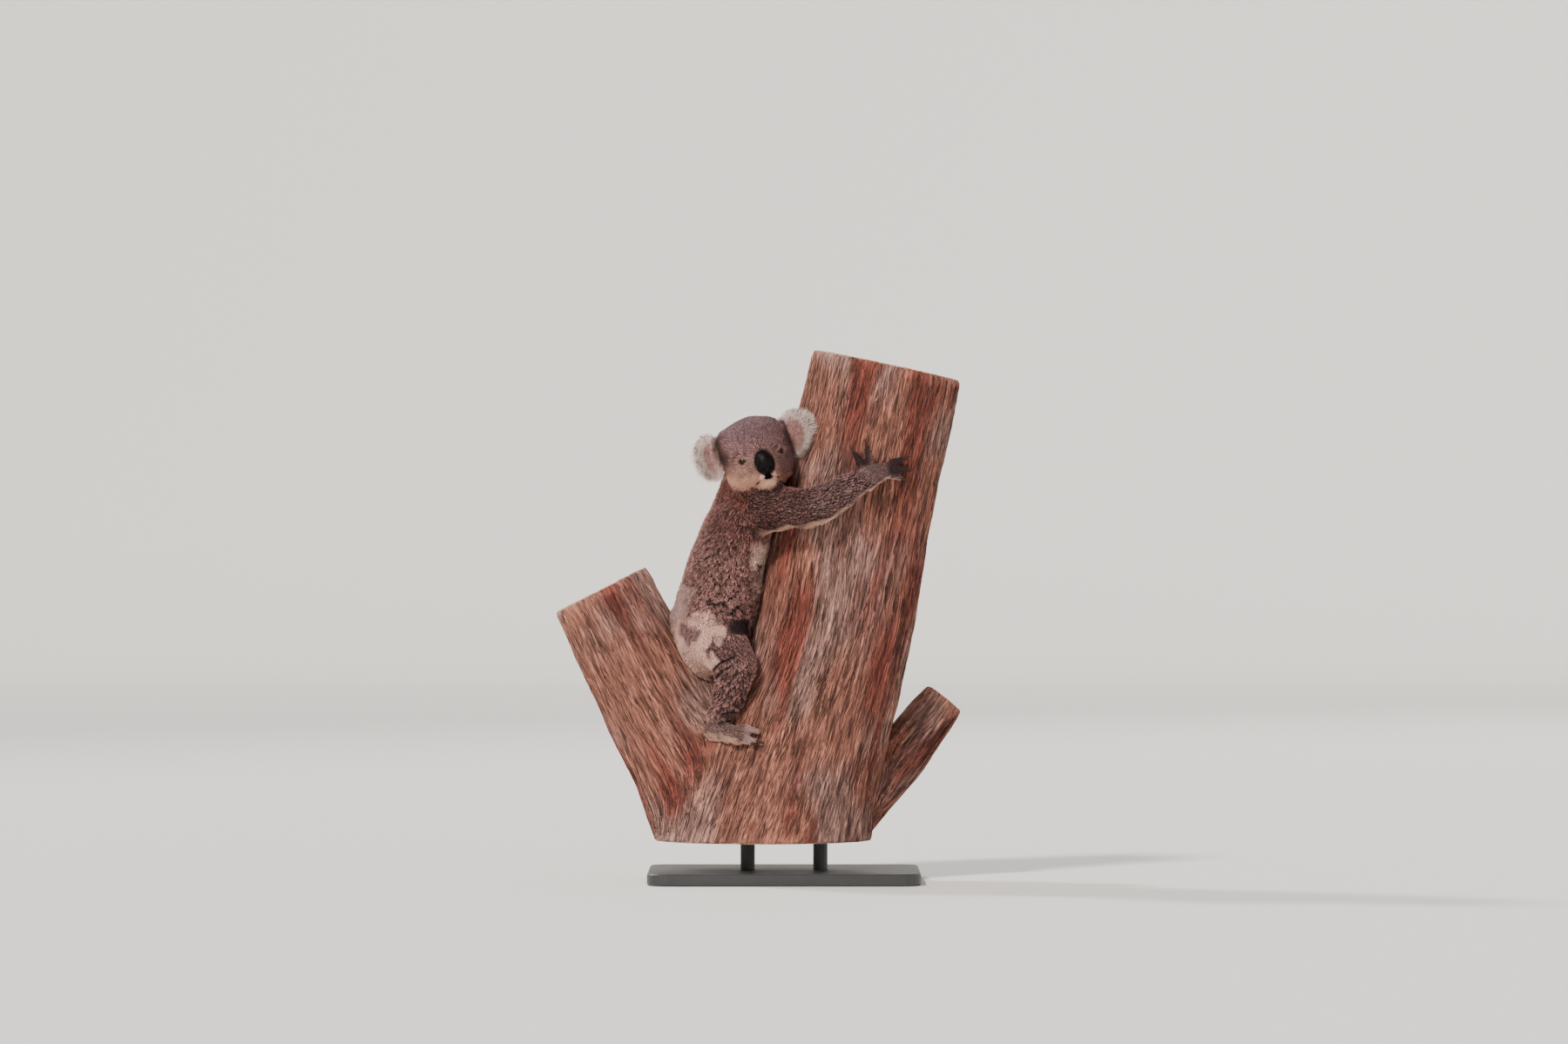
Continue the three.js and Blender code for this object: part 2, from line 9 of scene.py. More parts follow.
import bpy
import numpy as np
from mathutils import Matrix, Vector
from mathutils.bvhtree import BVHTree
from mathutils.kdtree import KDTree


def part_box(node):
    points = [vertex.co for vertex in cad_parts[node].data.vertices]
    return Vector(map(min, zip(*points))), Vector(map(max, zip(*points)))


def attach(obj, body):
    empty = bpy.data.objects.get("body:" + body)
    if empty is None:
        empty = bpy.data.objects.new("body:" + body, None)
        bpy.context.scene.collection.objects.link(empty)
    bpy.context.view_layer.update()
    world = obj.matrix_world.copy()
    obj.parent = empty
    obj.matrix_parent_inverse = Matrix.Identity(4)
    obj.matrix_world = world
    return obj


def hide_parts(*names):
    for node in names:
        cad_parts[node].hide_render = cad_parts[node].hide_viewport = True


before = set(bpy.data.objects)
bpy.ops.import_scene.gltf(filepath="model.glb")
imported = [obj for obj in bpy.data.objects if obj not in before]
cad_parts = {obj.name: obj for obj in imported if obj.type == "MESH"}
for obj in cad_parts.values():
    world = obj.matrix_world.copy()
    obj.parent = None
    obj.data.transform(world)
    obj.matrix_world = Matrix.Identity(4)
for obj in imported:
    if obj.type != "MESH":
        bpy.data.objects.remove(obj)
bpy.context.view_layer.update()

MM = 0.001
STORED = {  # by kind of attribute: its field and its sort of number
    "INT": ("value", np.int32), "FLOAT": ("value", np.float32),
    "FLOAT_VECTOR": ("vector", np.float32), "FLOAT_COLOR": ("color", np.float32),
}
dice = np.random.default_rng(11)

# ------------------------------------------------------------------ small tools


def unit(v):
    return v / np.maximum(np.linalg.norm(v, axis=-1, keepdims=True), 1e-9)


def ramp(x, start, end):
    """0 before start, 1 after end, smooth between."""
    t = np.clip((x - start) / (end - start), 0, 1)
    return t * t * (3 - 2 * t)


def fade(x, start, end):
    """1 before start, 0 after end, smooth between."""
    return 1 - ramp(x, start, end)


def length(v):
    return np.linalg.norm(v, axis=1)


def colour(red, green, blue):
    """A colour given in display units of 0 to 255, as linear light."""
    c = np.array([red, green, blue]) / 255
    return np.where(c <= 0.04045, c / 12.92, ((c + 0.055) / 1.055) ** 2.4)


def noise(points, size, seed=0):
    """Smooth noise from 0 to 1, with lumps about that size across."""
    q = points / size + 31.7 * seed + 1000
    cell = np.floor(q).astype(np.int64)
    f = q - cell
    f = f * f * (3 - 2 * f)
    total = np.zeros(len(points))
    for corner in itertools.product((0, 1), repeat=3):
        c = cell + corner
        h = (c[:, 0] * 73856093) ^ (c[:, 1] * 19349663) ^ (c[:, 2] * 83492791) ^ (seed * 2654435761)
        h = ((h ^ (h >> 13)) * 1274126177) & 0xFFFFFFFF
        h = (h ^ (h >> 16)) & 0xFFFF
        total += np.prod(np.where(corner, f, 1 - f), axis=1) * h / 0xFFFF
    return total


def wobble(points, size, seed):
    """Smooth noise in three directions, each from -0.5 to 0.5."""
    return np.stack([noise(points, size, seed + k) for k in range(3)], 1) - 0.5


def corners(node):
    return (np.array(corner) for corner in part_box(node))


def centre(node):
    low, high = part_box(node)
    return np.array((low + high) / 2)


def spot(node, x, y, z):
    """A point in a node's box, from 0 to 1 along each side."""
    low, high = corners(node)
    return low + (high - low) * np.array([x, y, z])


def in_box(points, node):
    """Points as shares of a node's box."""
    low, high = corners(node)
    return (points - low) / (high - low)


def put(title, data):
    """A new object in the scene."""
    obj = bpy.data.objects.new(title, data)
    bpy.context.scene.collection.objects.link(obj)
    return obj


def select_only(*objects):
    bpy.ops.object.select_all(action="DESELECT")
    for obj in objects:
        obj.select_set(True)
    bpy.context.view_layer.objects.active = objects[0]


def apply(obj, kind, **settings):
    """Adds a modifier and applies it."""
    select_only(obj)
    modifier = obj.modifiers.new(kind, kind)
    for name, value in settings.items():
        setattr(modifier, name, value)
    bpy.ops.object.modifier_apply(modifier=modifier.name)


def start_edit(obj, chosen=None, mode="VERT"):
    """Opens edit mode with all of an object selected, or only its chosen faces."""
    select_only(obj)
    bpy.ops.object.mode_set(mode="EDIT")
    bpy.ops.mesh.select_mode(type=mode)
    bpy.ops.mesh.select_all(action="SELECT" if chosen is None else "DESELECT")
    if chosen is not None:
        end_edit()
        obj.data.polygons.foreach_set("select", chosen)
        bpy.ops.object.mode_set(mode="EDIT")


def end_edit():
    bpy.ops.object.mode_set(mode="OBJECT")


def store(mesh, name, kind, values):
    """Keeps values for each vertex as an attribute."""
    field, number = STORED[kind]
    data = mesh.attributes.new(name, kind, "POINT").data
    data.foreach_set(field, np.asarray(values, number).ravel())


def tree_of(mesh):
    return BVHTree.FromPolygons(places(mesh).tolist(), [tuple(p.vertices) for p in mesh.polygons])


def got(items, field, width=1, number=np.int32):
    """One field of every item, as an array."""
    values = np.empty(len(items) * width, number)
    items.foreach_get(field, values)
    return values.reshape(-1, width) if width > 1 else values


def places(mesh):
    return got(mesh.vertices, "co", 3, float)


def normals(mesh):
    return got(mesh.vertices, "normal", 3, float)


def edges(mesh):
    return got(mesh.edges, "vertices", 2, np.int64)


def move_to(mesh, co):
    mesh.vertices.foreach_set("co", np.ascontiguousarray(co).ravel())
    mesh.update()


def relax(values, links, rounds, share=0.5):
    """Evens out values over a mesh. rounds and share are numbers, or one for each vertex."""
    values = np.array(values, float).reshape(len(values), -1)
    count = len(values)
    a, b = links.T
    degree = np.maximum(np.bincount(links.ravel(), minlength=count), 1)
    rounds = np.broadcast_to(rounds, count)
    for turn in range(int(rounds.max())):
        near = np.empty_like(values)
        for k in range(values.shape[1]):
            near[:, k] = np.bincount(a, values[b, k], count) + np.bincount(b, values[a, k], count)
        step = (share * (rounds > turn))[:, None]
        values += step * (near / degree[:, None] - values)
    return values


def merged_copy(node, title):
    """A copy of a CAD node, with its loose triangles joined up."""
    piece = put(title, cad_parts[node].data.copy())
    piece.data.materials.clear()
    start_edit(piece)
    bpy.ops.mesh.remove_doubles(threshold=0.01 * MM)
    end_edit()
    return piece


def joined(pieces, title):
    select_only(*pieces)
    bpy.ops.object.join()
    pieces[0].name = title
    return pieces[0]


def largest_shell(obj):
    """Keeps the largest of an object's loose shells."""
    start_edit(obj)
    bpy.ops.mesh.separate(type="LOOSE")
    end_edit()
    shells = sorted(bpy.context.selected_objects, key=lambda o: len(o.data.vertices))
    for small in shells[:-1]:
        bpy.data.objects.remove(small)
    return shells[-1]


def finish_piece(obj, title, slot, material, *nodes):
    obj.name = title
    obj.data.name = title
    obj.data.materials.clear()
    obj.data.materials.append(material)
    obj.data.shade_smooth()
    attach(obj, "root")
    if nodes:
        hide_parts(*nodes)
    return obj


# ------------------------------------------------------------ where things are

NODES = sorted(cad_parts)
LIMB_SIDES = ("right", "left")
FLESH = [n for n in NODES if not n.startswith(("perch", "stand", "eye", "nose", "claw"))]
KINDS = np.array([n.removesuffix("_right").removesuffix("_left") for n in FLESH])

MIDDLE = spot("torso", 0.5, 0.5, 0.5)[1]  # the koala's midplane

# The head's own axes: x to its left, -y ahead and z up, from the place of its eyes.
EYES = {side: centre(f"eye_{side}") for side in LIMB_SIDES}
EYE_RADIUS = 9 * MM
EYE_AXES = {}  # each eye's own axes, found once the skin is there
EYE_IN_HEAD = np.array([0, -49.5, -4]) * MM
across = unit(EYES["left"] - EYES["right"])
ahead = unit(np.array([across[1], -across[0], 0]))
HEAD_AXES = np.array([across, -ahead, np.cross(across, -ahead)])
HEAD_CENTRE = (EYES["left"] + EYES["right"]) / 2 - EYE_IN_HEAD @ HEAD_AXES


def to_head(points):
    """Places in the head's own axes, in millimetres."""
    return (points - HEAD_CENTRE) @ HEAD_AXES.T / MM


def from_head(points):
    return np.asarray(points) * MM @ HEAD_AXES + HEAD_CENTRE


def meeting(a, b):
    """The middle of where two nodes meet."""
    one, other = (places(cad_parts[n].data) for n in (a, b))
    gaps = np.linalg.norm(one[:, None] - other[None], axis=2).min(1)
    return one[gaps <= max(1.5 * MM, np.percentile(gaps, 4))].mean(0)


# The nodes along each limb, from the body out to the claw that its paw's hair lies towards.
CHAINS = (
    ("head", "neck", "torso"),
    ("torso", "upper_arm_{}", "forearm_{}", "hand_{}", "claw_hand_{}_4"),
    ("torso", "thigh_{}", "shin_{}", "foot_{}", "claw_foot_{}_3"),
)


def lie_of(node):
    """The way the coat lies on a node, as the line from its near end to its far end."""
    if node == "torso":
        return meeting("neck", "torso"), spot("torso", 0.25, 0.5, 0)
    side = node.rpartition("_")[2]
    chain = next(c for c in ([n.format(side) for n in names] for names in CHAINS) if node in c)
    here = chain.index(node)
    after = chain[here + 1]
    far = centre(after) if after.startswith("claw") else meeting(node, after)
    return meeting(chain[here - 1], node), far


# -------------------------------------------------------------------- skin

SKIN_VOXEL = 2.6 * MM
OVERLAP = 1.0 * MM  # the pieces are grown by this, so that they join across their gaps
EAR_SHARE = 0.8  # of the ear that is skin; the rest is fringe

# By kind of node: rounds of smoothing, and the coat's depth in millimetres.
SMOOTHING = {"head": 16, "ear": 6, "hand": 3, "foot": 3, "neck": 34, "forearm": 22, "shin": 22,
             "upper_arm": 30, "thigh": 30}
DEPTH = {"head": 2.4, "ear": 1.5, "hand": 0.9, "foot": 1.8, "forearm": 4.0, "shin": 4.0}
BODY_SMOOTHING = 50
# Where the wrists and ankles fill out: the limb's paw, the filling's radius, how far it is
# from the joint (x, z), and the rounds of smoothing there.
JOINT_FILL = {
    "forearm_right": ("hand_right", 25, (4, 0), 70),
    "forearm_left": ("hand_left", 18, (-8, 8), 130),
    "shin_right": ("foot_right", 29, (-5, -5), 70), "shin_left": ("foot_left", 29, (-5, -5), 70),
}
BODY_DEPTH = 5.0
TRUNK_REACH = (5 * MM, 16 * MM)  # the skin thins out from the second of these to the first
FURTHEST_DRAW = 8 * MM
DEPTH_EVENING = (16, 6)  # rounds for each of the steps in which the skin is drawn in
SKIN_FACES = 190000


def ball(at, radius):
    bpy.ops.object.select_all(action="DESELECT")
    bpy.ops.mesh.primitive_ico_sphere_add(subdivisions=3, radius=radius, location=at)
    bpy.ops.object.transform_apply(location=True)
    return bpy.context.active_object


def joint_fills():
    """The place and radius of each wrist's and ankle's filling, and its rounds of smoothing."""
    for limb, (paw, radius, (x, z), smoothing) in JOINT_FILL.items():
        yield meeting(limb, paw) + np.array([x, 0, z]) * MM, radius * MM, smoothing


def join_flesh():
    """All the flesh as one object, and a tree that tells a point's nearest node."""
    pieces, points, faces, owners = [], [], [], []
    for index, node in enumerate(FLESH):
        piece = merged_copy(node, "flesh")
        co = places(piece.data)
        start = sum(len(p) for p in points)
        faces += [[start + v for v in polygon.vertices] for polygon in piece.data.polygons]
        owners += [index] * len(piece.data.polygons)
        points.append(co)
        if KINDS[index] == "ear":
            root = co[np.argsort(length(co - HEAD_CENTRE))[:12]].mean(0)
            co = root + (co - root) * EAR_SHARE
        move_to(piece.data, co + normals(piece.data) * OVERLAP)
        pieces.append(piece)
    pieces += [ball(at, radius) for at, radius, _ in joint_fills()]
    pieces += [ball(at, EYE_RADIUS + 2 * MM) for at in EYES.values()]
    tree = BVHTree.FromPolygons(np.vstack(points).tolist(), faces)
    return joined(pieces, "skin"), tree, np.array(owners)


def make_skin():
    skin, tree, owners = join_flesh()
    apply(skin, "REMESH", mode="VOXEL", voxel_size=SKIN_VOXEL)
    skin = largest_shell(skin)
    mesh = skin.data
    co = places(mesh)
    links = edges(mesh)
    owner = owners[[tree.find_nearest(p)[2] for p in co.tolist()]]
    outside = tree_of(mesh)
    trunk = tree_of(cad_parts["perch"].data)
    to_trunk = np.array([trunk.find_nearest(p)[3] for p in co.tolist()])
    rounds = np.array([SMOOTHING.get(k, BODY_SMOOTHING) for k in KINDS])[owner]
    for at, radius, smoothing in joint_fills():
        off = length(co - at) / radius
        rounds = np.maximum(rounds, smoothing * fade(off, 0.9, 1.5))
    rounds = relax(rounds, links, 7)[:, 0]
    co = relax(co, links, rounds)
    move_to(mesh, co)

    # The coat's depth: how far each point should still go in, evened out.
    target = np.array([DEPTH.get(k, BODY_DEPTH) for k in KINDS])[owner] * MM
    target *= ramp(to_trunk, *TRUNK_REACH)
    target = relax(target, links, 10)[:, 0] + OVERLAP
    for evening in DEPTH_EVENING:
        gone = np.array([
            (Vector(p) - hit).dot(n)
            for p, (hit, n, _, _) in ((p, outside.find_nearest(p)) for p in co.tolist())
        ])
        push = np.clip(target + gone, -FURTHEST_DRAW, FURTHEST_DRAW)
        push[KINDS[owner] == "ear"] = 0
        push = relax(push, links, evening)[:, 0]
        co = co - normals(mesh) * push[:, None]
        move_to(mesh, co)
    return skin, owner


def refine(skin, owner, near, reach):
    """Subdivides the skin's faces round a point."""
    mesh = skin.data
    close = length(places(mesh) - near) < reach
    start_edit(skin, [all(close[v] for v in polygon.vertices) for polygon in mesh.polygons])
    bpy.ops.mesh.subdivide(number_cuts=1, smoothness=1)
    end_edit()
    added = len(mesh.vertices) - len(owner)
    return np.concatenate([owner, np.full(added, FLESH.index("head"))])


# -------------------------------------------------------------------- face

MOUTH = {
    "z": -46.5, "droop": 8, "half_width": 23, "depth": 8.5, "lip": 1.3, "open": 5.4,
    "open_width": 10, "back": -60,
}
CHIN = {"z": -64, "half_width": 18.5, "half_height": 10.5, "swell": 3.0}
LID = {"half_width": 6.6, "half_height": 4.7, "thick": 0.9, "reach": 11, "open_depth": 2.2}
PAD = {"z": -18, "half_width": 18.5, "half_height": 24.5, "back": -71}
# Finer skin: the place on the head of its middle, and its radius.
EYE_DETAIL = 17 * MM
MOUTH_DETAIL = ((0, -70, -50), 34 * MM)


def mouth_line(x):
    return MOUTH["z"] - MOUTH["droop"] * (x / MOUTH["half_width"]) ** 2


def off_lid(x, z):
    """1 at the edge of the lids' opening and 0 at its middle, for places from the eye's middle."""
    share = x / LID["half_width"]
    return np.hypot(share, z / (LID["half_height"] * (1 - 0.3 * np.clip(share, -1, 1) ** 2)))


def off_pad(h):
    """1 at the edge of the nose pad and 0 at its middle."""
    return np.hypot(h[:, 0] / PAD["half_width"], (h[:, 2] - PAD["z"]) / PAD["half_height"])


def eye_axes(points, surface, side):
    """An eye's own axes: across the face, up, and out of the head."""
    near = length(points - EYES[side]) < 13 * MM
    out = unit(surface[near].mean(0))
    right = unit(HEAD_AXES[0] - out * (HEAD_AXES[0] @ out))
    return np.array([right, np.cross(out, right), out])


def shape_face(skin):
    mesh = skin.data
    co, surface = places(mesh), normals(mesh)

    # Lids: the skin closes over the ball, but for an almond-shaped opening.
    for side in LIMB_SIDES:
        axes = EYE_AXES[side]
        local = (co - EYES[side]) @ axes.T / MM
        flat = np.hypot(local[:, 0], local[:, 1])
        on_ball = np.sqrt(np.maximum((EYE_RADIUS / MM) ** 2 - flat**2, 0))
        ring = off_lid(local[:, 0], local[:, 1])
        near = (flat < LID["reach"]) & (local[:, 2] > -2)
        closed = on_ball + LID["thick"] * ramp(ring, 0.98, 1.3)
        closed = closed + (local[:, 2] - on_ball) * ramp(flat, 7.5, LID["reach"])
        rim = np.where(ring < 1, on_ball - LID["open_depth"] * (1 - ring**4), closed)
        local[near, 2] = rim[near]
        co[near] = (local @ axes * MM + EYES[side])[near]

    # Mouth: a groove under the nose that ends in a corner on each side.
    h = to_head(co)
    ahead_part = ramp(-h[:, 1], 32, 44)
    off = h[:, 2] - mouth_line(h[:, 0])
    wide = fade(np.abs(h[:, 0]), MOUTH["half_width"] - 5, MOUTH["half_width"] + 1)
    parted = fade(np.abs(h[:, 0]), 4, MOUTH["open_width"])
    gape = MOUTH["lip"] + (MOUTH["open"] - MOUTH["lip"]) * parted
    groove = np.exp(-((off / gape) ** 4)) * wide * ahead_part
    corner = np.hypot(np.abs(h[:, 0]) - MOUTH["half_width"] + 2, off + 0.5) / 3.2
    groove = np.maximum(groove, np.exp(-(corner**2)) * ahead_part)
    lips = np.exp(-(((np.abs(off) - gape - 2.4) / 2.0) ** 2)) * wide * ahead_part
    chin = np.hypot(h[:, 0] / CHIN["half_width"], (h[:, 2] - CHIN["z"]) / CHIN["half_height"])
    # The skin bulges at the lips and chin; under the nose pad it stays behind it.
    push = 0.8 * lips + CHIN["swell"] * fade(chin, 0.2, 1.1) * ahead_part
    co += unit(surface) * push[:, None] * MM
    h = to_head(co)
    h[:, 1] += MOUTH["depth"] * groove
    inside = fade(np.hypot(h[:, 0] / 7.5, (h[:, 2] + 46) / 7), 0.75, 1.2) * (h[:, 1] < -30)
    h[:, 1] += inside * (np.maximum(h[:, 1], MOUTH["back"]) - h[:, 1])
    behind = fade(off_pad(h), 0.98, 1.18) * (h[:, 1] < -30)
    h[:, 1] += behind * (np.maximum(h[:, 1], PAD["back"]) - h[:, 1])
    co = from_head(h)
    move_to(mesh, co)
    return groove


# ------------------------------------------------------------------ creases


def off_line(points, line):
    """How far points in a plane are from a line through more points."""
    far = np.full(len(points), 1e9)
    for a, b in zip(line[:-1], line[1:]):
        t = np.clip(((points - a) @ (b - a)) / ((b - a) @ (b - a)), 0, 1)
        far = np.minimum(far, length(points - a - t[:, None] * (b - a)))
    return far


def shape_creases(skin, owner):
    """Folds the skin behind the knees and at the ankles, and says how deep in one each point is."""
    mesh = skin.data
    co, surface = places(mesh), normals(mesh)
    found = []
    for side in LIMB_SIDES:
        low, high = corners(f"shin_{side}")
        legs = np.isin(owner, [FLESH.index(f"{part}_{side}") for part in ("thigh", "shin", "foot")])
        outward = surface[:, 1] * np.sign((low + high)[1] / 2 - MIDDLE)
        for line, depth, half_width in CREASES:
            line = low[[0, 2]] + np.array(line) * (high - low)[[0, 2]]
            wobbled = co[:, [0, 2]] + 2 * MM * (noise(co, 9 * MM, 20)[:, None] - 0.5)
            far = off_line(wobbled, line) / (half_width * MM)
            share = legs * ramp(outward, 0.0, 0.5)
            groove = np.exp(-(far**2)) * share
            swell = np.exp(-((far - 2.2) ** 2)) * share
            co += surface * ((0.8 * swell - depth * groove) * MM)[:, None]
            found.append(groove)
    move_to(mesh, co)
    return found


# -------------------------------------------------------------- coat's markings

# By kind of node: tip colour, root colour, size of the tufts' clumps in millimetres and how
# dark the gaps between them are; that darkness is painted shade.
TONES = {
    "head": (colour(172, 130, 127), colour(58, 32, 34), 3.6, 0.8),
    "ear": (colour(244, 228, 218), colour(160, 124, 118), 5.0, 0.3),
    "neck": (colour(158, 97, 85), colour(30, 10, 9), 4.6, 1.0),
    "torso": (colour(186, 136, 129), colour(44, 18, 16), 5.0, 0.95),
    "upper_arm": (colour(160, 114, 107), colour(32, 13, 12), 4.8, 1.0),
    "forearm": (colour(172, 130, 126), colour(40, 20, 20), 4.6, 0.95),
    "hand": (colour(170, 134, 132), colour(60, 36, 36), 3.6, 0.6),
    "thigh": (colour(168, 122, 119), colour(44, 19, 19), 5.4, 0.95),
    "shin": (colour(196, 143, 138), colour(48, 21, 19), 6.8, 0.95),
    "foot": (colour(190, 152, 146), colour(60, 36, 34), 4.2, 0.75),
}
CREAM = colour(236, 190, 166)
RUMP = colour(250, 202, 186)
# Painted shade: the near black put in the legs' creases and in the hollow above the thigh.
PAINTED_SHADE = colour(40, 20, 20)
BELLY = colour(214, 180, 168)
# Painted shade on the upper parts of the hands' digits.
DIGIT_SHADE = colour(58, 34, 36)
TOES = colour(196, 160, 154)
HEAD_TONES = {  # of the parts of the head and ears
    "crown": colour(122, 92, 98), "lower": colour(204, 154, 138), "right_cheek": colour(222, 172, 150),
    # The left cheek's tone is painted shade.
    "left_cheek": colour(120, 88, 92), "jaw": colour(246, 190, 162), "muzzle": colour(190, 146, 134),
    "temple": colour(84, 54, 56), "chin": colour(255, 206, 180), "lip": colour(255, 200, 190),
    "round_eye": colour(206, 162, 148), "lid": colour(170, 120, 110), "lid_edge": colour(44, 20, 20),
    # The mouth's tone is painted shadow inside the open mouth.
    "mouth": colour(16, 5, 6), "ear_back": colour(130, 102, 108), "ear_inside": colour(180, 128, 124),
    "ear_top": colour(104, 80, 86),
}
# Round the eye: from and to how far out, as shares of the lids' opening, and how strongly, in
# which tone and with how much of the gaps.
RINGS = ((2.0, 3.2, 0.5, "round_eye", 0.2), (1.5, 2.0, 1, "lid", 0.1), (1.15, 1.4, 1, "lid_edge", 0))

# Patches on the body: node, place in its box on the right side, radii in millimetres, tip
# colour, and how much of the clumps' gaps is left.
PATCHES = [
    ("torso", (0.15, 0.2, 0.45), (17, 150, 15), colour(200, 164, 158), 0.5),
    ("torso", (0.05, 0.2, 0.37), (26, 150, 30), colour(196, 160, 154), 0.4),
    ("torso", (0.28, 0.2, 0.31), (32, 150, 13), RUMP, 0.3),
    ("torso", (0.39, 0.2, 0.24), (23, 150, 18), RUMP, 0.15),
    ("torso", (0.24, 0.2, 0.22), (24, 150, 38), RUMP, 0.2),
    ("torso", (0.13, 0.2, 0.12), (40, 150, 76), RUMP, 0.15),
    ("torso", (0.28, 0.2, 0.05), (22, 150, 48), RUMP, 0.15),
    ("torso", (0.17, 0.2, 0.25), (14, 90, 25), colour(160, 122, 120), 0.6),
    ("torso", (0.84, 0.1, 0.625), (27, 170, 26), colour(255, 214, 196), 0.05),
    # Painted shadow in the hollow between the belly and the trunk, above the thigh.
    ("torso", (0.64, 0.1, 0.27), (36, 70, 12), PAINTED_SHADE, 0.6),
    ("thigh_right", (0.52, 0.2, 0.60), (7, 60, 5), CREAM, 0.2),
    ("thigh_right", (0.30, 0.2, 0.27), (10, 60, 15), RUMP, 0.3),
]
# Where the clumps of hair on the flank grow larger: place in the torso's box, radii (x, z)
# and size in millimetres.
LARGE_CLUMPS = [
    ((0.5, 0.1, 0.51), (90, 95), 7),
    ((0.72, 0.1, 0.47), (52, 66), 10),
    ((0.5, 0.1, 0.34), (66, 40), 14),
]
# Painted shade round the shoulder: place in the torso's box, radii in millimetres, and how much darker
# the tips get in red, green and blue.
SHOULDER_SHADE = {"at": (0.64, 0.5, 0.8), "radii": (90, 400, 80), "darker": (0.22, 0.34, 0.36)}
# Creases of the leg: points in the shin's box (x, z), depth and half width in millimetres.
CREASES = [
    ([(0.03, 0.79), (0.19, 0.94), (0.51, 1.07)], 5.5, 2.8),
    ([(0.09, 0.66), (0.29, 0.83), (0.47, 0.91)], 4.5, 2.2),
    ([(0.27, 0.10), (0.58, 0.12)], 3.5, 2.2),
    ([(0.19, -0.07), (0.44, -0.03)], 3.0, 2.0),
]


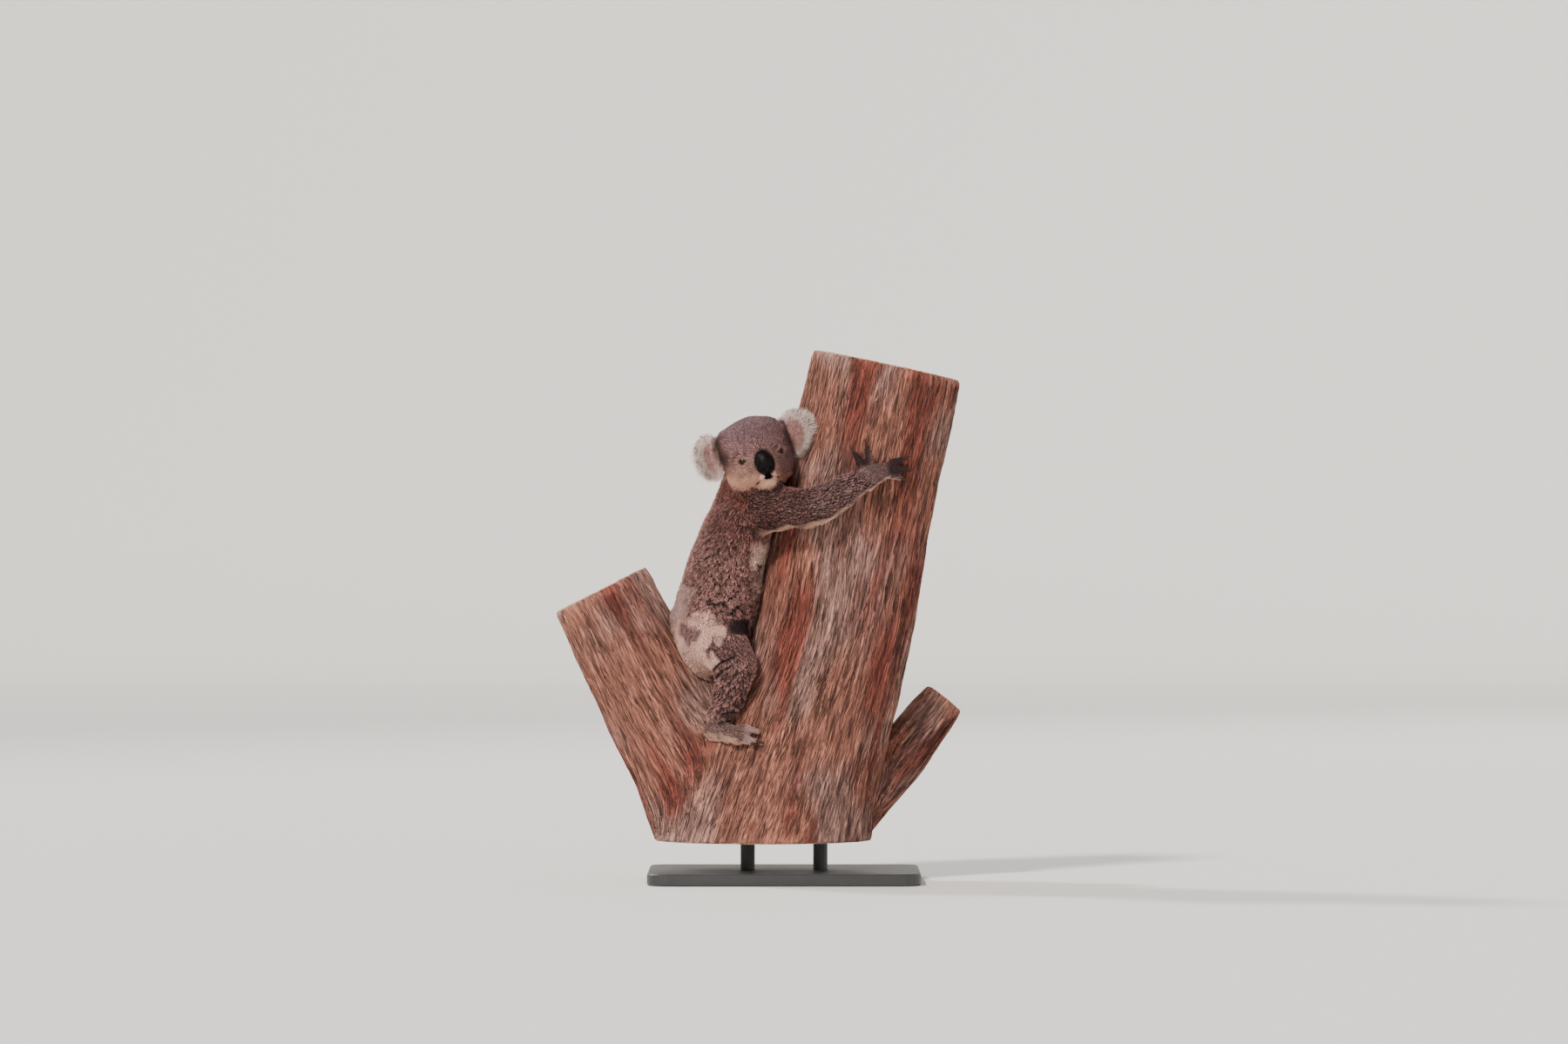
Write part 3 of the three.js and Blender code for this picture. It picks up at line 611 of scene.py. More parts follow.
class Coat:
    """The coat's colours, clumps and locks at each point of the skin."""

    def __init__(self, co, surface, owner, links, mouth, creases):
        kinds = KINDS[owner]
        names = np.array(FLESH)[owner]
        even = np.where(np.isin(kinds, ("head", "ear")), 7, 60)
        table = {k: (*tip, *root, *others, *LOCKS[k]) for k, (tip, root, *others) in TONES.items()}
        fields = relax([table[k] for k in kinds], links, even)
        self.tip, self.root = fields[:, :3].copy(), fields[:, 3:6].copy()
        self.size, self.gaps, self.length, self.width, self.lift = fields[:, 6:].T.copy()
        self.density = 1 / np.maximum(self.width, 0.5) ** 1.2
        ragged = co + 22 * MM * wobble(co, 26 * MM, 1)
        ragged += 13 * MM * wobble(co, 8 * MM, 4)
        for node, place, radii, tone, gaps in PATCHES:
            at = spot(node, *place)
            out = np.abs(ragged[:, 1] - MIDDLE) - abs(at[1] - MIDDLE)
            far = np.stack([ragged[:, 0] - at[0], out, ragged[:, 2] - at[2]], 1)
            share = fade(length(far / (np.array(radii) * MM)), 0.72, 1.22)
            share *= np.isin(kinds, ("torso", "thigh", "neck"))
            self.paint(share, tone, gaps)

        # The belly, the arms' undersides and the legs' rear edges are pale.
        under = np.isin(kinds, ("upper_arm", "forearm", "hand"))
        self.paint(under * ramp(-surface[:, 2] + 0.25 * surface[:, 0], 0.8, 1.0), CREAM, 0.3)
        rear = np.isin(kinds, ("shin", "foot"))
        self.paint(rear * ramp(-surface[:, 0] - 0.35 * surface[:, 2], 0.88, 1.03) * 0.6, CREAM, 0.5)
        sole = ramp(-surface[:, 2] - 0.4 * surface[:, 0], 0.3, 0.75)
        self.paint((kinds == "foot") * sole, CREAM, 0.3)
        for side in LIMB_SIDES:
            x, _, z = in_box(co, f"hand_{side}").T
            # The upper parts of the digits are painted dark: painted shade.
            digit_shade = ramp(x, 0.58, 0.68) * ramp(z, 0.24, 0.36)
            digit_shade += fade(x, 0.26, 0.36) * ramp(z, 0.45, 0.6)
            self.paint((names == f"hand_{side}") * digit_shade, DIGIT_SHADE, 0.3)
            toes = ramp(in_box(co, f"foot_{side}")[:, 0], 0.66, 0.8)
            self.paint((names == f"foot_{side}") * toes, TOES, 0.3)
        belly = np.isin(kinds, ("torso", "neck", "thigh"))
        high = ramp(co[:, 2], 570 * MM, 610 * MM)
        self.paint(belly * high * ramp(surface[:, 0], 0.85, 0.99), BELLY, 0.4)
        # The tips are painted darker round the shoulder: painted shade.
        shoulder_shade = (ragged - spot("torso", *SHOULDER_SHADE["at"])) / (np.array(SHOULDER_SHADE["radii"]) * MM)
        shoulder_shade = fade(length(shoulder_shade), 0.4, 1.1) * ~np.isin(kinds, ("head", "ear"))
        self.tip *= 1 - shoulder_shade[:, None] * SHOULDER_SHADE["darker"]
        for place, radii, clump in LARGE_CLUMPS:
            far = (ragged - spot("torso", *place))[:, [0, 2]] / (np.array(radii) * MM)
            share = (kinds == "torso") * fade(length(far), 0.6, 1.1)
            self.size += share * (clump - self.size)
            self.lift *= 1 - 0.3 * share
            self.gaps += share * (1 - self.gaps)
        for crease in creases:
            # Painted shade: the creases are painted near black, and their locks are shortened.
            self.paint(ramp(crease, 0.08, 0.35), PAINTED_SHADE, 0)
            self.length *= 1 - 0.75 * ramp(crease, 0.05, 0.4)
        self.face(to_head(ragged), to_head(co), kinds == "head", mouth)
        self.ears(co, surface, names)
        lumps = 0.84 + 0.32 * noise(co, 34 * MM, 7)
        self.tip *= lumps[:, None]

    def paint(self, share, tone, gaps=None):
        share = np.asarray(share, float)[:, None]
        self.tip += share * (tone - self.tip)
        self.root += share * (tone * 0.55 - self.root)
        if gaps is not None:
            self.gaps += share[:, 0] * (gaps - self.gaps)

    def face(self, ragged, h, on_head, mouth):
        x, y, z = ragged.T
        front = ramp(-y, 5, 40)
        self.paint(on_head * ramp(z, 10, 62) * 0.85, HEAD_TONES["crown"])
        self.paint(on_head * ramp(-z, 0, 45) * 0.75, HEAD_TONES["lower"], 0.4)
        self.paint(on_head * ramp(-x, 10, 50) * ramp(-z, -15, 20) * 0.5, HEAD_TONES["right_cheek"], 0.4)
        # The left cheek is painted darker: painted shade on the side of the face away from the key
        # light.
        self.paint(on_head * ramp(x, 10, 55) * ramp(-z, -25, 10) * 0.55, HEAD_TONES["left_cheek"])
        jaw = on_head * ramp(-y, -45, 0) * ramp(-z - 0.12 * x, 36, 54)
        self.paint(jaw, HEAD_TONES["jaw"], 0.2)
        self.length += jaw * 7
        self.width += jaw * 0.15
        around_nose = np.hypot(h[:, 0] / 32, (h[:, 2] + 24) / 38)
        self.paint(on_head * front * fade(around_nose, 0.65, 1.15) * 0.5, HEAD_TONES["muzzle"])
        temple = on_head * ramp(np.abs(x), 54, 66) * ramp(z, -12, 8) * ramp(-y, -45, -20)
        self.paint(temple, HEAD_TONES["temple"], 0.6)
        self.length += temple * 9
        self.width += temple * 0.25
        x, z = h[:, 0], h[:, 2]
        chin = np.hypot(x / (CHIN["half_width"] + 1), (z - CHIN["z"]) / (CHIN["half_height"] + 1))
        chin = on_head * front * fade(chin, 0.8, 1.1)
        self.paint(chin, HEAD_TONES["chin"], 0.1)
        self.length *= 1 - 0.35 * chin
        self.root += 0.3 * chin[:, None] * (self.tip - self.root)
        lip = np.hypot((np.abs(h[:, 0]) - 11.5) / 5.5, (h[:, 2] + 44) / 9)
        lip = on_head * front * fade(lip, 0.7, 1.1)
        self.paint(lip, HEAD_TONES["lip"], 0.1)
        self.length += 1.5 * lip
        self.root += 0.4 * lip[:, None] * (self.tip - self.root)
        near_mouth = np.hypot(h[:, 0] / 27, (h[:, 2] + 52) / 24)
        self.length *= 1 - 0.55 * on_head * front * fade(near_mouth, 0.75, 1.05)
        pad_edge = on_head * front * fade(off_pad(h), 1.0, 1.3)
        self.length *= 1 - 0.45 * pad_edge
        self.density *= ramp(off_pad(h), 1.05, 1.12) ** (on_head * (y < 0))
        self.root *= 1 - 0.75 * pad_edge[:, None]
        for side in LIMB_SIDES:
            local = (from_head(h) - EYES[side]) @ EYE_AXES[side].T / MM
            ring = off_lid(local[:, 0], local[:, 1])
            near = on_head * (local[:, 2] > -4)
            for start, end, share, tone, gaps in RINGS:
                self.paint(near * fade(ring, start, end) * share, HEAD_TONES[tone], gaps)
            self.length *= 1 - 0.65 * near * fade(ring, 1.5, 2.6)
            self.density *= 1 - near * fade(ring, 1.2, 1.5)
        # The mouth's groove is painted near black: painted shadow inside the open mouth.
        self.paint(ramp(mouth, 0.2, 0.5), HEAD_TONES["mouth"], 0)
        self.density *= fade(mouth, 0.15, 0.4)

    def ears(self, co, surface, names):
        for side in LIMB_SIDES:
            on_ear = names == f"ear_{side}"
            inner = ramp(surface @ -HEAD_AXES[1], -0.1, 0.35)
            low, high = corners(f"ear_{side}")
            rim = length((co - (low + high) / 2) / (high - low) * 2)
            root = meeting("head", f"ear_{side}")
            bare = (low + high) / 2 + 0.22 * (root - (low + high) / 2)
            bare = bare - [0, 0, 0.05 * (high - low)[2]]
            bare = length((co - bare) / (high - low) * 2)
            self.paint(on_ear * (1 - inner) * fade(rim, 0.75, 0.95), HEAD_TONES["ear_back"], 0.4)
            self.paint(on_ear * inner * fade(bare, 0.4, 0.75) * 0.85, HEAD_TONES["ear_inside"], 0.4)
            x, _, z = in_box(co, f"ear_{side}").T
            longest = 1 - 0.45 * ramp(z, 0.5, 0.9)
            if side == "left":
                top = on_ear * ramp(z, 0.72, 0.88) * fade(x, 0.5, 0.85)
                self.paint(top, HEAD_TONES["ear_top"], 0.4)
                longest *= 1 - 0.85 * ramp(x, 0.35, 0.7) * fade(z, 0.3, 0.6)
            self.length += on_ear * ramp(rim, 0.5, 0.85) * (EAR_FRINGE - 11) * longest


# -------------------------------------------------------------------- locks

BAKE_PATCH = 0.003
RING = (math.pi / 2, math.pi * 7 / 6, math.pi * 11 / 6)  # the corners' angles round a strand


def strands(title, lines, up, side, width, thick, tones, uv, levels, taper):
    """Many three-sided tapered strands as one mesh.

    Each follows its line: a ring of three corners at every point but the last, which is the
    tip. levels says how far along each point is, and tones has a colour for each.
    """
    count, points = lines.shape[:2]
    steps = points - 1
    per = steps * 3 + 1
    verts = np.empty((count, per, 3))
    verts[:, -1] = lines[:, -1]
    for k in range(steps):
        for j, angle in enumerate(RING):
            off_side = side * (math.cos(angle) * width * taper[k])[:, None]
            off_skin = up * (math.sin(angle) * thick * taper[k])[:, None]
            verts[:, 3 * k + j] = lines[:, k] + off_side + off_skin

    faces, patch = [(0, 1, 2)], [((0, 0.05), (1, 0), (2, 0.05))]
    for k in range(steps - 1):
        for j in range(3):
            a, b = 3 * k + j, 3 * k + (j + 1) % 3
            faces.append((b, a, a + 3, b + 3))
            low, high = levels[k], levels[k + 1]
            patch.append(((j + 1, low), (j, low), (j, high), (j + 1, high)))
    last = 3 * (steps - 1)
    for j in range(3):
        faces.append((last + (j + 1) % 3, last + j, per - 1))
        patch.append(((j + 1, levels[-2]), (j, levels[-2]), (j + 0.5, 1)))
    corner = np.array([v for face in faces for v in face])
    sizes = np.array([len(face) for face in faces])
    patch = (np.array([p for face in patch for p in face], float) / [3, 1] - 0.5) * BAKE_PATCH

    loops = (corner[None] + per * np.arange(count)[:, None]).ravel()
    mesh = bpy.data.meshes.new(title)
    mesh.vertices.add(count * per)
    mesh.vertices.foreach_set("co", verts.ravel())
    mesh.loops.add(len(loops))
    mesh.loops.foreach_set("vertex_index", loops)
    mesh.polygons.add(count * len(sizes))
    starts = np.concatenate([[0], np.cumsum(np.tile(sizes, count))[:-1]])
    mesh.polygons.foreach_set("loop_start", starts)
    mesh.update(calc_edges=True)
    layer = mesh.uv_layers.new(name="OFBake")
    layer.data.foreach_set("uv", (uv[:, None] + patch[None]).clip(0, 1).ravel())
    shades = np.empty((count, per, 3))
    for k in range(steps):
        shades[:, 3 * k : 3 * k + 3] = tones[k][:, None]
    shades[:, -1] = tones[-1]
    paint_tones(mesh, shades.reshape(-1, 3))
    return put(title, mesh)


def paint_tones(mesh, tones):
    shades = np.ones((len(mesh.vertices), 4), np.float32)
    shades[:, :3] = tones
    store(mesh, "tone", "FLOAT_COLOR", shades)


class Turf:
    """A part of a surface that strands grow from, with its own unwrap."""

    def __init__(self, obj, wanted, unwrap=True):
        """wanted says for each vertex of obj whether it belongs to this part."""
        source = obj.data
        patch = put("turf", source.copy())
        mesh = patch.data
        sides = got(mesh.polygons, "loop_total")
        corner = got(mesh.loops, "vertex_index")
        face = np.repeat(np.arange(len(sides)), sides)
        inside = np.bincount(face, wanted[corner], len(sides)) >= sides / 2
        store(mesh, "number", "INT", np.arange(len(mesh.vertices)))
        start_edit(patch, ~inside, "FACE")
        bpy.ops.mesh.delete(type="FACE")
        bpy.ops.mesh.select_all(action="SELECT")
        if unwrap:
            bpy.ops.uv.smart_project(angle_limit=1.15, island_margin=0.004, scale_to_bounds=True)
        end_edit()
        mesh = patch.data
        mesh.calc_loop_triangles()
        number = got(mesh.attributes["number"].data, "value")
        loops = got(mesh.loop_triangles, "loops", 3)
        verts = got(mesh.loop_triangles, "vertices", 3)
        uv = np.zeros(len(mesh.loops) * 2)
        if unwrap:
            mesh.uv_layers.active.data.foreach_get("uv", uv)
        self.verts = number[verts]
        self.uv = uv.reshape(-1, 2)[loops]
        a, b, c = places(source)[self.verts].transpose(1, 0, 2)
        self.area = length(np.cross(b - a, c - a))
        bpy.data.objects.remove(patch)

    def sow(self, count, density):
        """Picks count roots, thicker where density is higher. Gives weights of corners."""
        ends = np.cumsum(self.area * density[self.verts].mean(1))
        marks = (np.arange(count) + dice.random(count)) / count * ends[-1]
        self.tri = np.minimum(np.searchsorted(ends, marks), len(ends) - 1)
        u, v = dice.random(count), dice.random(count)
        over = u + v > 1
        u[over], v[over] = 1 - u[over], 1 - v[over]
        self.share = np.stack([1 - u - v, u, v], 1)

    def at_roots(self, values):
        """Values given at the source's vertices, at the roots."""
        picked = values[self.verts[self.tri]]
        if picked.ndim == 2:
            return (picked * self.share).sum(1)
        return (picked * self.share[..., None]).sum(1)

    def root_uv(self):
        return (self.uv[self.tri] * self.share[..., None]).sum(1)


# -------------------------------------------------------------------- coat

LOCK_LEVELS = (0.0, 0.5, 1.0)  # a bent lock
SPIKE_LEVELS = (0.0, 1.0)  # a short straight one
LOCK_TAPER = (1, 0.8)
FLATNESS = 0.5  # thickness as a share of width
EAR_FRINGE = 27
# By kind: length and half width of a lock in millimetres, and how much it rises.
LOCKS = {
    "head": (5.5, 0.48, 0.5), "ear": (11, 0.5, 0.35), "neck": (7.0, 0.95, 0.85),
    "torso": (7.6, 1.1, 0.8), "upper_arm": (6.8, 0.95, 0.85), "forearm": (6.6, 0.92, 0.8),
    "hand": (4.4, 0.42, 0.36), "thigh": (6.4, 1.1, 0.55), "shin": (5.8, 1.1, 0.48),
    "foot": (4.8, 0.5, 0.4),
}
# Pieces of the coat: their nodes, number of locks and slot.
COAT_PIECES = {
    "coat_face": (("head",), 44000, "grey_fur"),
    "coat_ears": (("ear_right", "ear_left"), 15000, "ear_fur"),
    "coat_neck": (("neck",), 8000, "grey_fur"),
    "coat_torso": (("torso",), 19800, "grey_fur"),
    "coat_torso_left": (("torso",), 15000, "grey_fur"),
    "coat_arm_right": (("upper_arm_right", "forearm_right"), 13000, "grey_fur"),
    "coat_arm_left": (("upper_arm_left", "forearm_left"), 9500, "grey_fur"),
    "coat_leg_right": (("thigh_right", "shin_right"), 12000, "grey_fur"),
    "coat_leg_left": (("thigh_left", "shin_left"), 8500, "grey_fur"),
    "coat_paws": (("hand_right", "hand_left", "foot_right", "foot_left"), 32000, "paw_fur"),
}
SHORT_COATS = ("coat_face", "coat_paws")
CLUMPS_PER_ROOM = 1.15
RELIEF = 0.42  # height of a clump's swelling of the skin, as a share of its size
SHIN_CLUMPS = 0.55  # how much those on the shins are drawn out across the leg
LIE_EVENING = 240  # rounds, off the head
# How locks vary: ranges of length, width and rise, and spreads of their turn and sway.
VARIED = {"long": (0.8, 1.15), "wide": (0.8, 1.2), "lift": (0.75, 1.2), "turn": 0.22, "sway": 0.06}
GATHERING = 0.9  # how much locks lean to their clump's middle
GAP_SHADE = 0.9  # how much darker they are in a gap
# How much the brightness varies from clump to clump and from lock to lock.
CLUMP_CONTRAST = (0.9, 0.5)
LOCK_CONTRAST = (0.5, 0.6)
TIP_LIGHT = 1.5


def lie_of_coat(co, surface, owner, links):
    """The way that hair lies at each point of the skin."""
    way = np.zeros_like(co)
    for index, node in enumerate(FLESH):
        mine = owner == index
        if node == "head":
            way[mine] = unit(co[mine] - (centre("nose") + HEAD_AXES[1] * 4 * MM))
        elif KINDS[index] == "ear":
            root = meeting(node, "head")
            way[mine] = unit(co[mine] - root) + [0, 0, -0.35]
        else:
            near, far = lie_of(node)
            way[mine] = unit(far - near)
    way = relax(way, links, np.where(np.isin(KINDS[owner], ("head", "ear")), 12, LIE_EVENING))
    return along_skin(way, surface)


def drawn_across(points):
    """Places as the clumps see them: those on the shins run across the leg."""
    moved = np.array(points)
    for side in LIMB_SIDES:
        low, high = corners(f"shin_{side}")
        middle = (low + high) / 2
        share = ramp(points[:, 2], low[2] - 12 * MM, low[2] + 8 * MM)
        share *= fade(points[:, 2], high[2] - 30 * MM, high[2])
        for axis in (1, 0):
            share *= fade(np.abs(points[:, axis] - middle[axis]), 60 * MM, 90 * MM)
        moved[:, :2] -= SHIN_CLUMPS * share[:, None] * (points - middle)[:, :2]
    return moved


class Clumps:
    """The clumps that the hair gathers in: points spread over the skin, one clump apart."""

    def __init__(self, skin, size):
        turf = Turf(skin, np.ones(len(size), bool), unwrap=False)
        room = turf.area / 2 / (size[turf.verts].mean(1) * MM) ** 2
        count = int(room.sum() * CLUMPS_PER_ROOM)
        turf.sow(count, 1 / size**2)
        self.centres = turf.at_roots(places(skin.data))
        self.tree = KDTree(count)
        for i, p in enumerate(drawn_across(self.centres).tolist()):
            self.tree.insert(p, i)
        self.tree.balance()

    def find(self, points, size):
        """For each point its clump's number, and 0 in a gap between two to 1 well inside."""
        moved = points + 0.45 * size[:, None] * wobble(points, 5 * MM, 8)
        found = [self.tree.find_n(p, 2) for p in drawn_across(moved).tolist()]
        gap = np.array([f[1][2] - f[0][2] for f in found])
        return np.array([f[0][1] for f in found]), ramp(gap / size, 0.02, 0.34)


def swell_clumps(skin, coat, clumps):
    """Raises the skin under the larger clumps, and says how far inside a clump each point is."""
    mesh = skin.data
    co, surface = places(mesh), normals(mesh)
    _, inner = clumps.find(co, coat.size * MM)
    level = RELIEF * coat.size * coat.gaps * ramp(coat.size, 4.5, 6.5) * (inner - 0.75)
    move_to(mesh, co + surface * (level * MM)[:, None])
    return inner


def along_skin(way, up):
    return unit(way - up * (way * up).sum(1, keepdims=True))


def turned(way, up, angle):
    """A way along the skin, turned by an angle."""
    return way * np.cos(angle)[:, None] + np.cross(up, way) * np.sin(angle)[:, None]


def grow_coat(title, turf, count, coat, clumps):
    """One piece of the coat."""
    turf.sow(count, coat.density)
    at, up, way, size, gaps, long, wide, lift, tip, root = (turf.at_roots(field) for field in (
        coat.co, coat.surface, coat.way, coat.size, coat.gaps, coat.length, coat.width, coat.lift,
        coat.tip, coat.root))
    up = unit(up)
    nearest, inner = clumps.find(at, size * MM)
    pull = clumps.centres[nearest] - at
    pull -= up * (pull * up).sum(1, keepdims=True)

    long = long * MM * dice.uniform(*VARIED["long"], count) * (1 - 0.5 * gaps * (1 - inner))
    wide = wide * MM * dice.uniform(*VARIED["wide"], count)
    lift = lift * dice.uniform(*VARIED["lift"], count) * (0.7 + 0.4 * inner)
    turn = dice.normal(0, VARIED["turn"], count) + 0.7 * (noise(at, 14 * MM, 12) - 0.5)
    way = unit(turned(way, up, turn) + GATHERING * gaps[:, None] * pull / long[:, None])
    # Locks in the gaps between clumps are painted darker, tips and roots both: painted shade.
    shade = 1 - GAP_SHADE * gaps * (1 - inner)
    share, most = CLUMP_CONTRAST
    bright = 1 + share * gaps * dice.uniform(-most, most, len(clumps.centres))[nearest]
    share, most = LOCK_CONTRAST
    bright = bright * (1 + share * gaps * dice.uniform(-most, most, count)) * shade
    tip = tip * bright[:, None]
    root = root * (0.6 + 0.4 * shade)[:, None]
    tones = [root, root + (tip - root) * 0.55, tip * TIP_LIGHT]
    side = unit(np.cross(way, up))
    sway = side * (dice.normal(0, VARIED["sway"], count) * long)[:, None]
    levels = SPIKE_LEVELS if title in SHORT_COATS else LOCK_LEVELS
    if title in SHORT_COATS:
        tones = [tones[0], tones[2]]
    lines = np.stack([
        at + way * (long * s)[:, None] + up * (long * lift * s * (1.6 - 0.9 * s))[:, None]
        + sway * math.sin(2.4 * s)
        for s in levels
    ], 1)
    return strands(
        title, lines, up, side, wide, wide * FLATNESS, tones, turf.root_uv(), levels, LOCK_TAPER)


# -------------------------------------------------------------------- materials


def material(title, roughness, build=None, **sockets):
    """A material on the principled shader. build adds its nodes; underscores stand for spaces."""
    mat = bpy.data.materials.new(title)
    mat.use_nodes = True
    nodes = mat.node_tree.nodes
    shader = nodes["Principled BSDF"]
    shader.inputs["Roughness"].default_value = roughness
    for name, value in sockets.items():
        shader.inputs[name.replace("_", " ")].default_value = value
    if build:
        build(nodes, shader)
    return mat


def new_node(nodes, kind, **sockets):
    """A node with values or other nodes' sockets on its inputs; underscores stand for spaces."""
    node = nodes.new(kind)
    for name, value in sockets.items():
        plug(nodes, node.inputs[name.replace("_", " ").title()], value)
    return node


def plug(nodes, socket, value):
    """Gives a socket its value, or a link from another socket."""
    if isinstance(value, bpy.types.NodeSocket):
        nodes.id_data.links.new(value, socket)
    else:
        socket.default_value = value


def attribute(nodes, name, output="Vector"):
    node = nodes.new("ShaderNodeAttribute")
    node.attribute_name = name
    return node.outputs[output]


def textured(nodes, kind, scale, stretch=(1, 1, 1), **settings):
    """A texture node on Object coordinates."""
    place = nodes.new("ShaderNodeTexCoord").outputs["Object"]
    mapping = new_node(nodes, "ShaderNodeMapping", vector=place, scale=stretch)
    return new_node(nodes, kind, scale=scale, vector=mapping.outputs["Vector"], **settings)


def mixed(nodes, a, b, factor, way="MIX"):
    """A colour mix node. a, b and factor are sockets or values."""
    mix = nodes.new("ShaderNodeMix")
    mix.data_type = "RGBA"
    mix.blend_type = way
    plug(nodes, mix.inputs[6], a)
    plug(nodes, mix.inputs[7], b)
    plug(nodes, mix.inputs[0], factor)
    return mix.outputs[2]


def between(nodes, dark, light, factor):
    """A mix of two colours given in display units."""
    return mixed(nodes, (*colour(*dark), 1), (*colour(*light), 1), factor)


def spread(nodes, value, **ends):
    return new_node(nodes, "ShaderNodeMapRange", value=value, **ends).outputs["Result"]


def bump(nodes, shader, height, distance, strength=1.0):
    node = new_node(nodes, "ShaderNodeBump", distance=distance, strength=strength, height=height)
    plug(nodes, shader.inputs["Normal"], node.outputs["Normal"])


def hair_nodes(nodes, shader):
    speckle = textured(nodes, "ShaderNodeTexNoise", 700, detail=2).outputs["Fac"]
    speckle = spread(nodes, speckle, to_min=0.7, to_max=1.3)
    tone = mixed(nodes, attribute(nodes, "tone", "Color"), speckle, 1.0, "MULTIPLY")
    plug(nodes, shader.inputs["Base Color"], tone)


def skin_nodes(nodes, shader):
    hair_nodes(nodes, shader)
    grain = textured(nodes, "ShaderNodeTexNoise", 900, detail=3)
    bump(nodes, shader, grain.outputs["Fac"], 0.6 * MM)


def eye_nodes(nodes, shader):
    """A dark brown iris with an upright pupil, on the eye's own coordinates."""
    gaze = attribute(nodes, "gaze")

    def disc(half_width, half_height, soft):
        size = (1 / half_width, 1 / half_height, 0)
        mapping = new_node(nodes, "ShaderNodeMapping", vector=gaze, scale=size)
        gradient = new_node(nodes, "ShaderNodeTexGradient", vector=mapping.outputs["Vector"])
        gradient.gradient_type = "SPHERICAL"
        return spread(nodes, gradient.outputs["Fac"], from_min=0, from_max=soft)

    rays = new_node(nodes, "ShaderNodeTexNoise", scale=1.6, vector=gaze)
    brown = between(nodes, (46, 20, 13), (20, 8, 6), rays.outputs["Fac"])
    iris = mixed(nodes, (*colour(30, 16, 15), 1), brown, disc(6.4, 6.4, 0.12))
    pupil = mixed(nodes, iris, (0.002, 0.002, 0.002, 1), disc(1.7, 4.6, 0.2))
    plug(nodes, shader.inputs["Base Color"], pupil)


def nose_nodes(nodes, shader):
    cells = textured(nodes, "ShaderNodeTexVoronoi", 800).outputs["Distance"]
    tone = between(nodes, (17, 9, 13), (8, 4, 6), cells)
    tone = mixed(nodes, attribute(nodes, "tone", "Color"), tone, 1.0, "MULTIPLY")
    plug(nodes, shader.inputs["Base Color"], tone)
    bump(nodes, shader, cells, 0.25 * MM, 0.7)


def claw_nodes(nodes, shader):
    streaks = textured(nodes, "ShaderNodeTexNoise", 500, (1, 1, 0.3), detail=2).outputs["Fac"]
    plug(nodes, shader.inputs["Base Color"], between(nodes, (30, 17, 15), (70, 46, 40), streaks))
    bump(nodes, shader, streaks, 0.2 * MM)


def paint_nodes(nodes, shader):
    """Fine powder coat."""
    grain = textured(nodes, "ShaderNodeTexNoise", 900, detail=2).outputs["Fac"]
    wear = textured(nodes, "ShaderNodeTexNoise", 14, detail=4).outputs["Fac"]
    plug(nodes, shader.inputs["Base Color"], between(nodes, (52, 54, 56), (62, 64, 66), wear))
    bump(nodes, shader, grain, 0.15 * MM, 0.6)


def bark_nodes(nodes, shader):
    """Streaks of two sizes along the grain; the sawn ends stay plain."""
    plain = tone = attribute(nodes, "tone", "Color")
    grain = attribute(nodes, "grain")
    for scale, low, high in ((150, 0.1, 2.1), (420, 0.5, 1.5)):
        fibres = new_node(nodes, "ShaderNodeTexNoise", scale=scale, detail=3, vector=grain)
        streaks = spread(
            nodes, fibres.outputs["Fac"], from_min=0.25, from_max=0.75, to_min=low, to_max=high)
        tone = mixed(nodes, tone, streaks, 1.0, "MULTIPLY")
    tone = mixed(nodes, tone, plain, attribute(nodes, "sawn", "Fac"))
    plug(nodes, shader.inputs["Base Color"], tone)
    bump(nodes, shader, tone, 5 * MM)


FUR = material("fur", 0.85, hair_nodes)
SKIN = material("skin_under_fur", 0.9, skin_nodes)
EYE = material("eye", 0.07, eye_nodes, IOR=1.3)
NOSE = material("nose_skin", 0.42, nose_nodes, IOR=1.2)
CLAW = material("claw_horn", 0.55, claw_nodes, IOR=1.3)
BARK = material("bark", 0.92, bark_nodes)
STAND = material("stand_paint", 0.5, paint_nodes, Metallic=0.3)

# -------------------------------------------------------------------- bark

BARK_VOXEL = 4.8 * MM
# Each limb's middle, as shares of the perch's box, and its radius there in metres.
LIMB_LINES = {
    "stem": [
        ((0.53, 0.5, 0), 0.215), ((0.68, 0.5, 0.385), 0.161), ((0.74, 0.5, 0.683), 0.158),
        ((0.816, 0.5, 0.967), 0.157),
    ],
    "left": [
        ((0.449, 0.516, 0.009), 0.13), ((0.234, 0.536, 0.313), 0.116), ((0.11, 0.536, 0.51), 0.11),
    ],
    "right": [
        ((0.685, 0.653, -0.013), 0.06), ((0.821, 0.734, 0.139), 0.057),
        ((0.966, 0.767, 0.282), 0.056),
    ],
}
BULGE = 7 * MM
RIDGE = 7.0 * MM  # from the bark's furrows to its ridges
BARK_LEVEL = 0.6  # the share of that which lies under the sawn shape
GRAIN_STRETCH = 10
GRAIN_WAVE = 10 * MM
# The furrows' tones are partly the bark's own darker fibres and partly painted shade.
BARK_TONES = {
    "furrow": colour(34, 14, 11), "ridge": colour(152, 99, 83), "grey": colour(156, 117, 107),
    "red": colour(122, 62, 50), "red_furrow": colour(44, 14, 10), "sawn": colour(196, 160, 130),
}
STRIPS = 18800
STRIP_LENGTHS = (20, 80)
STRIP_HALF_WIDTHS = (0.5, 1.7)
STRIP_TAPER = (0.4, 1)


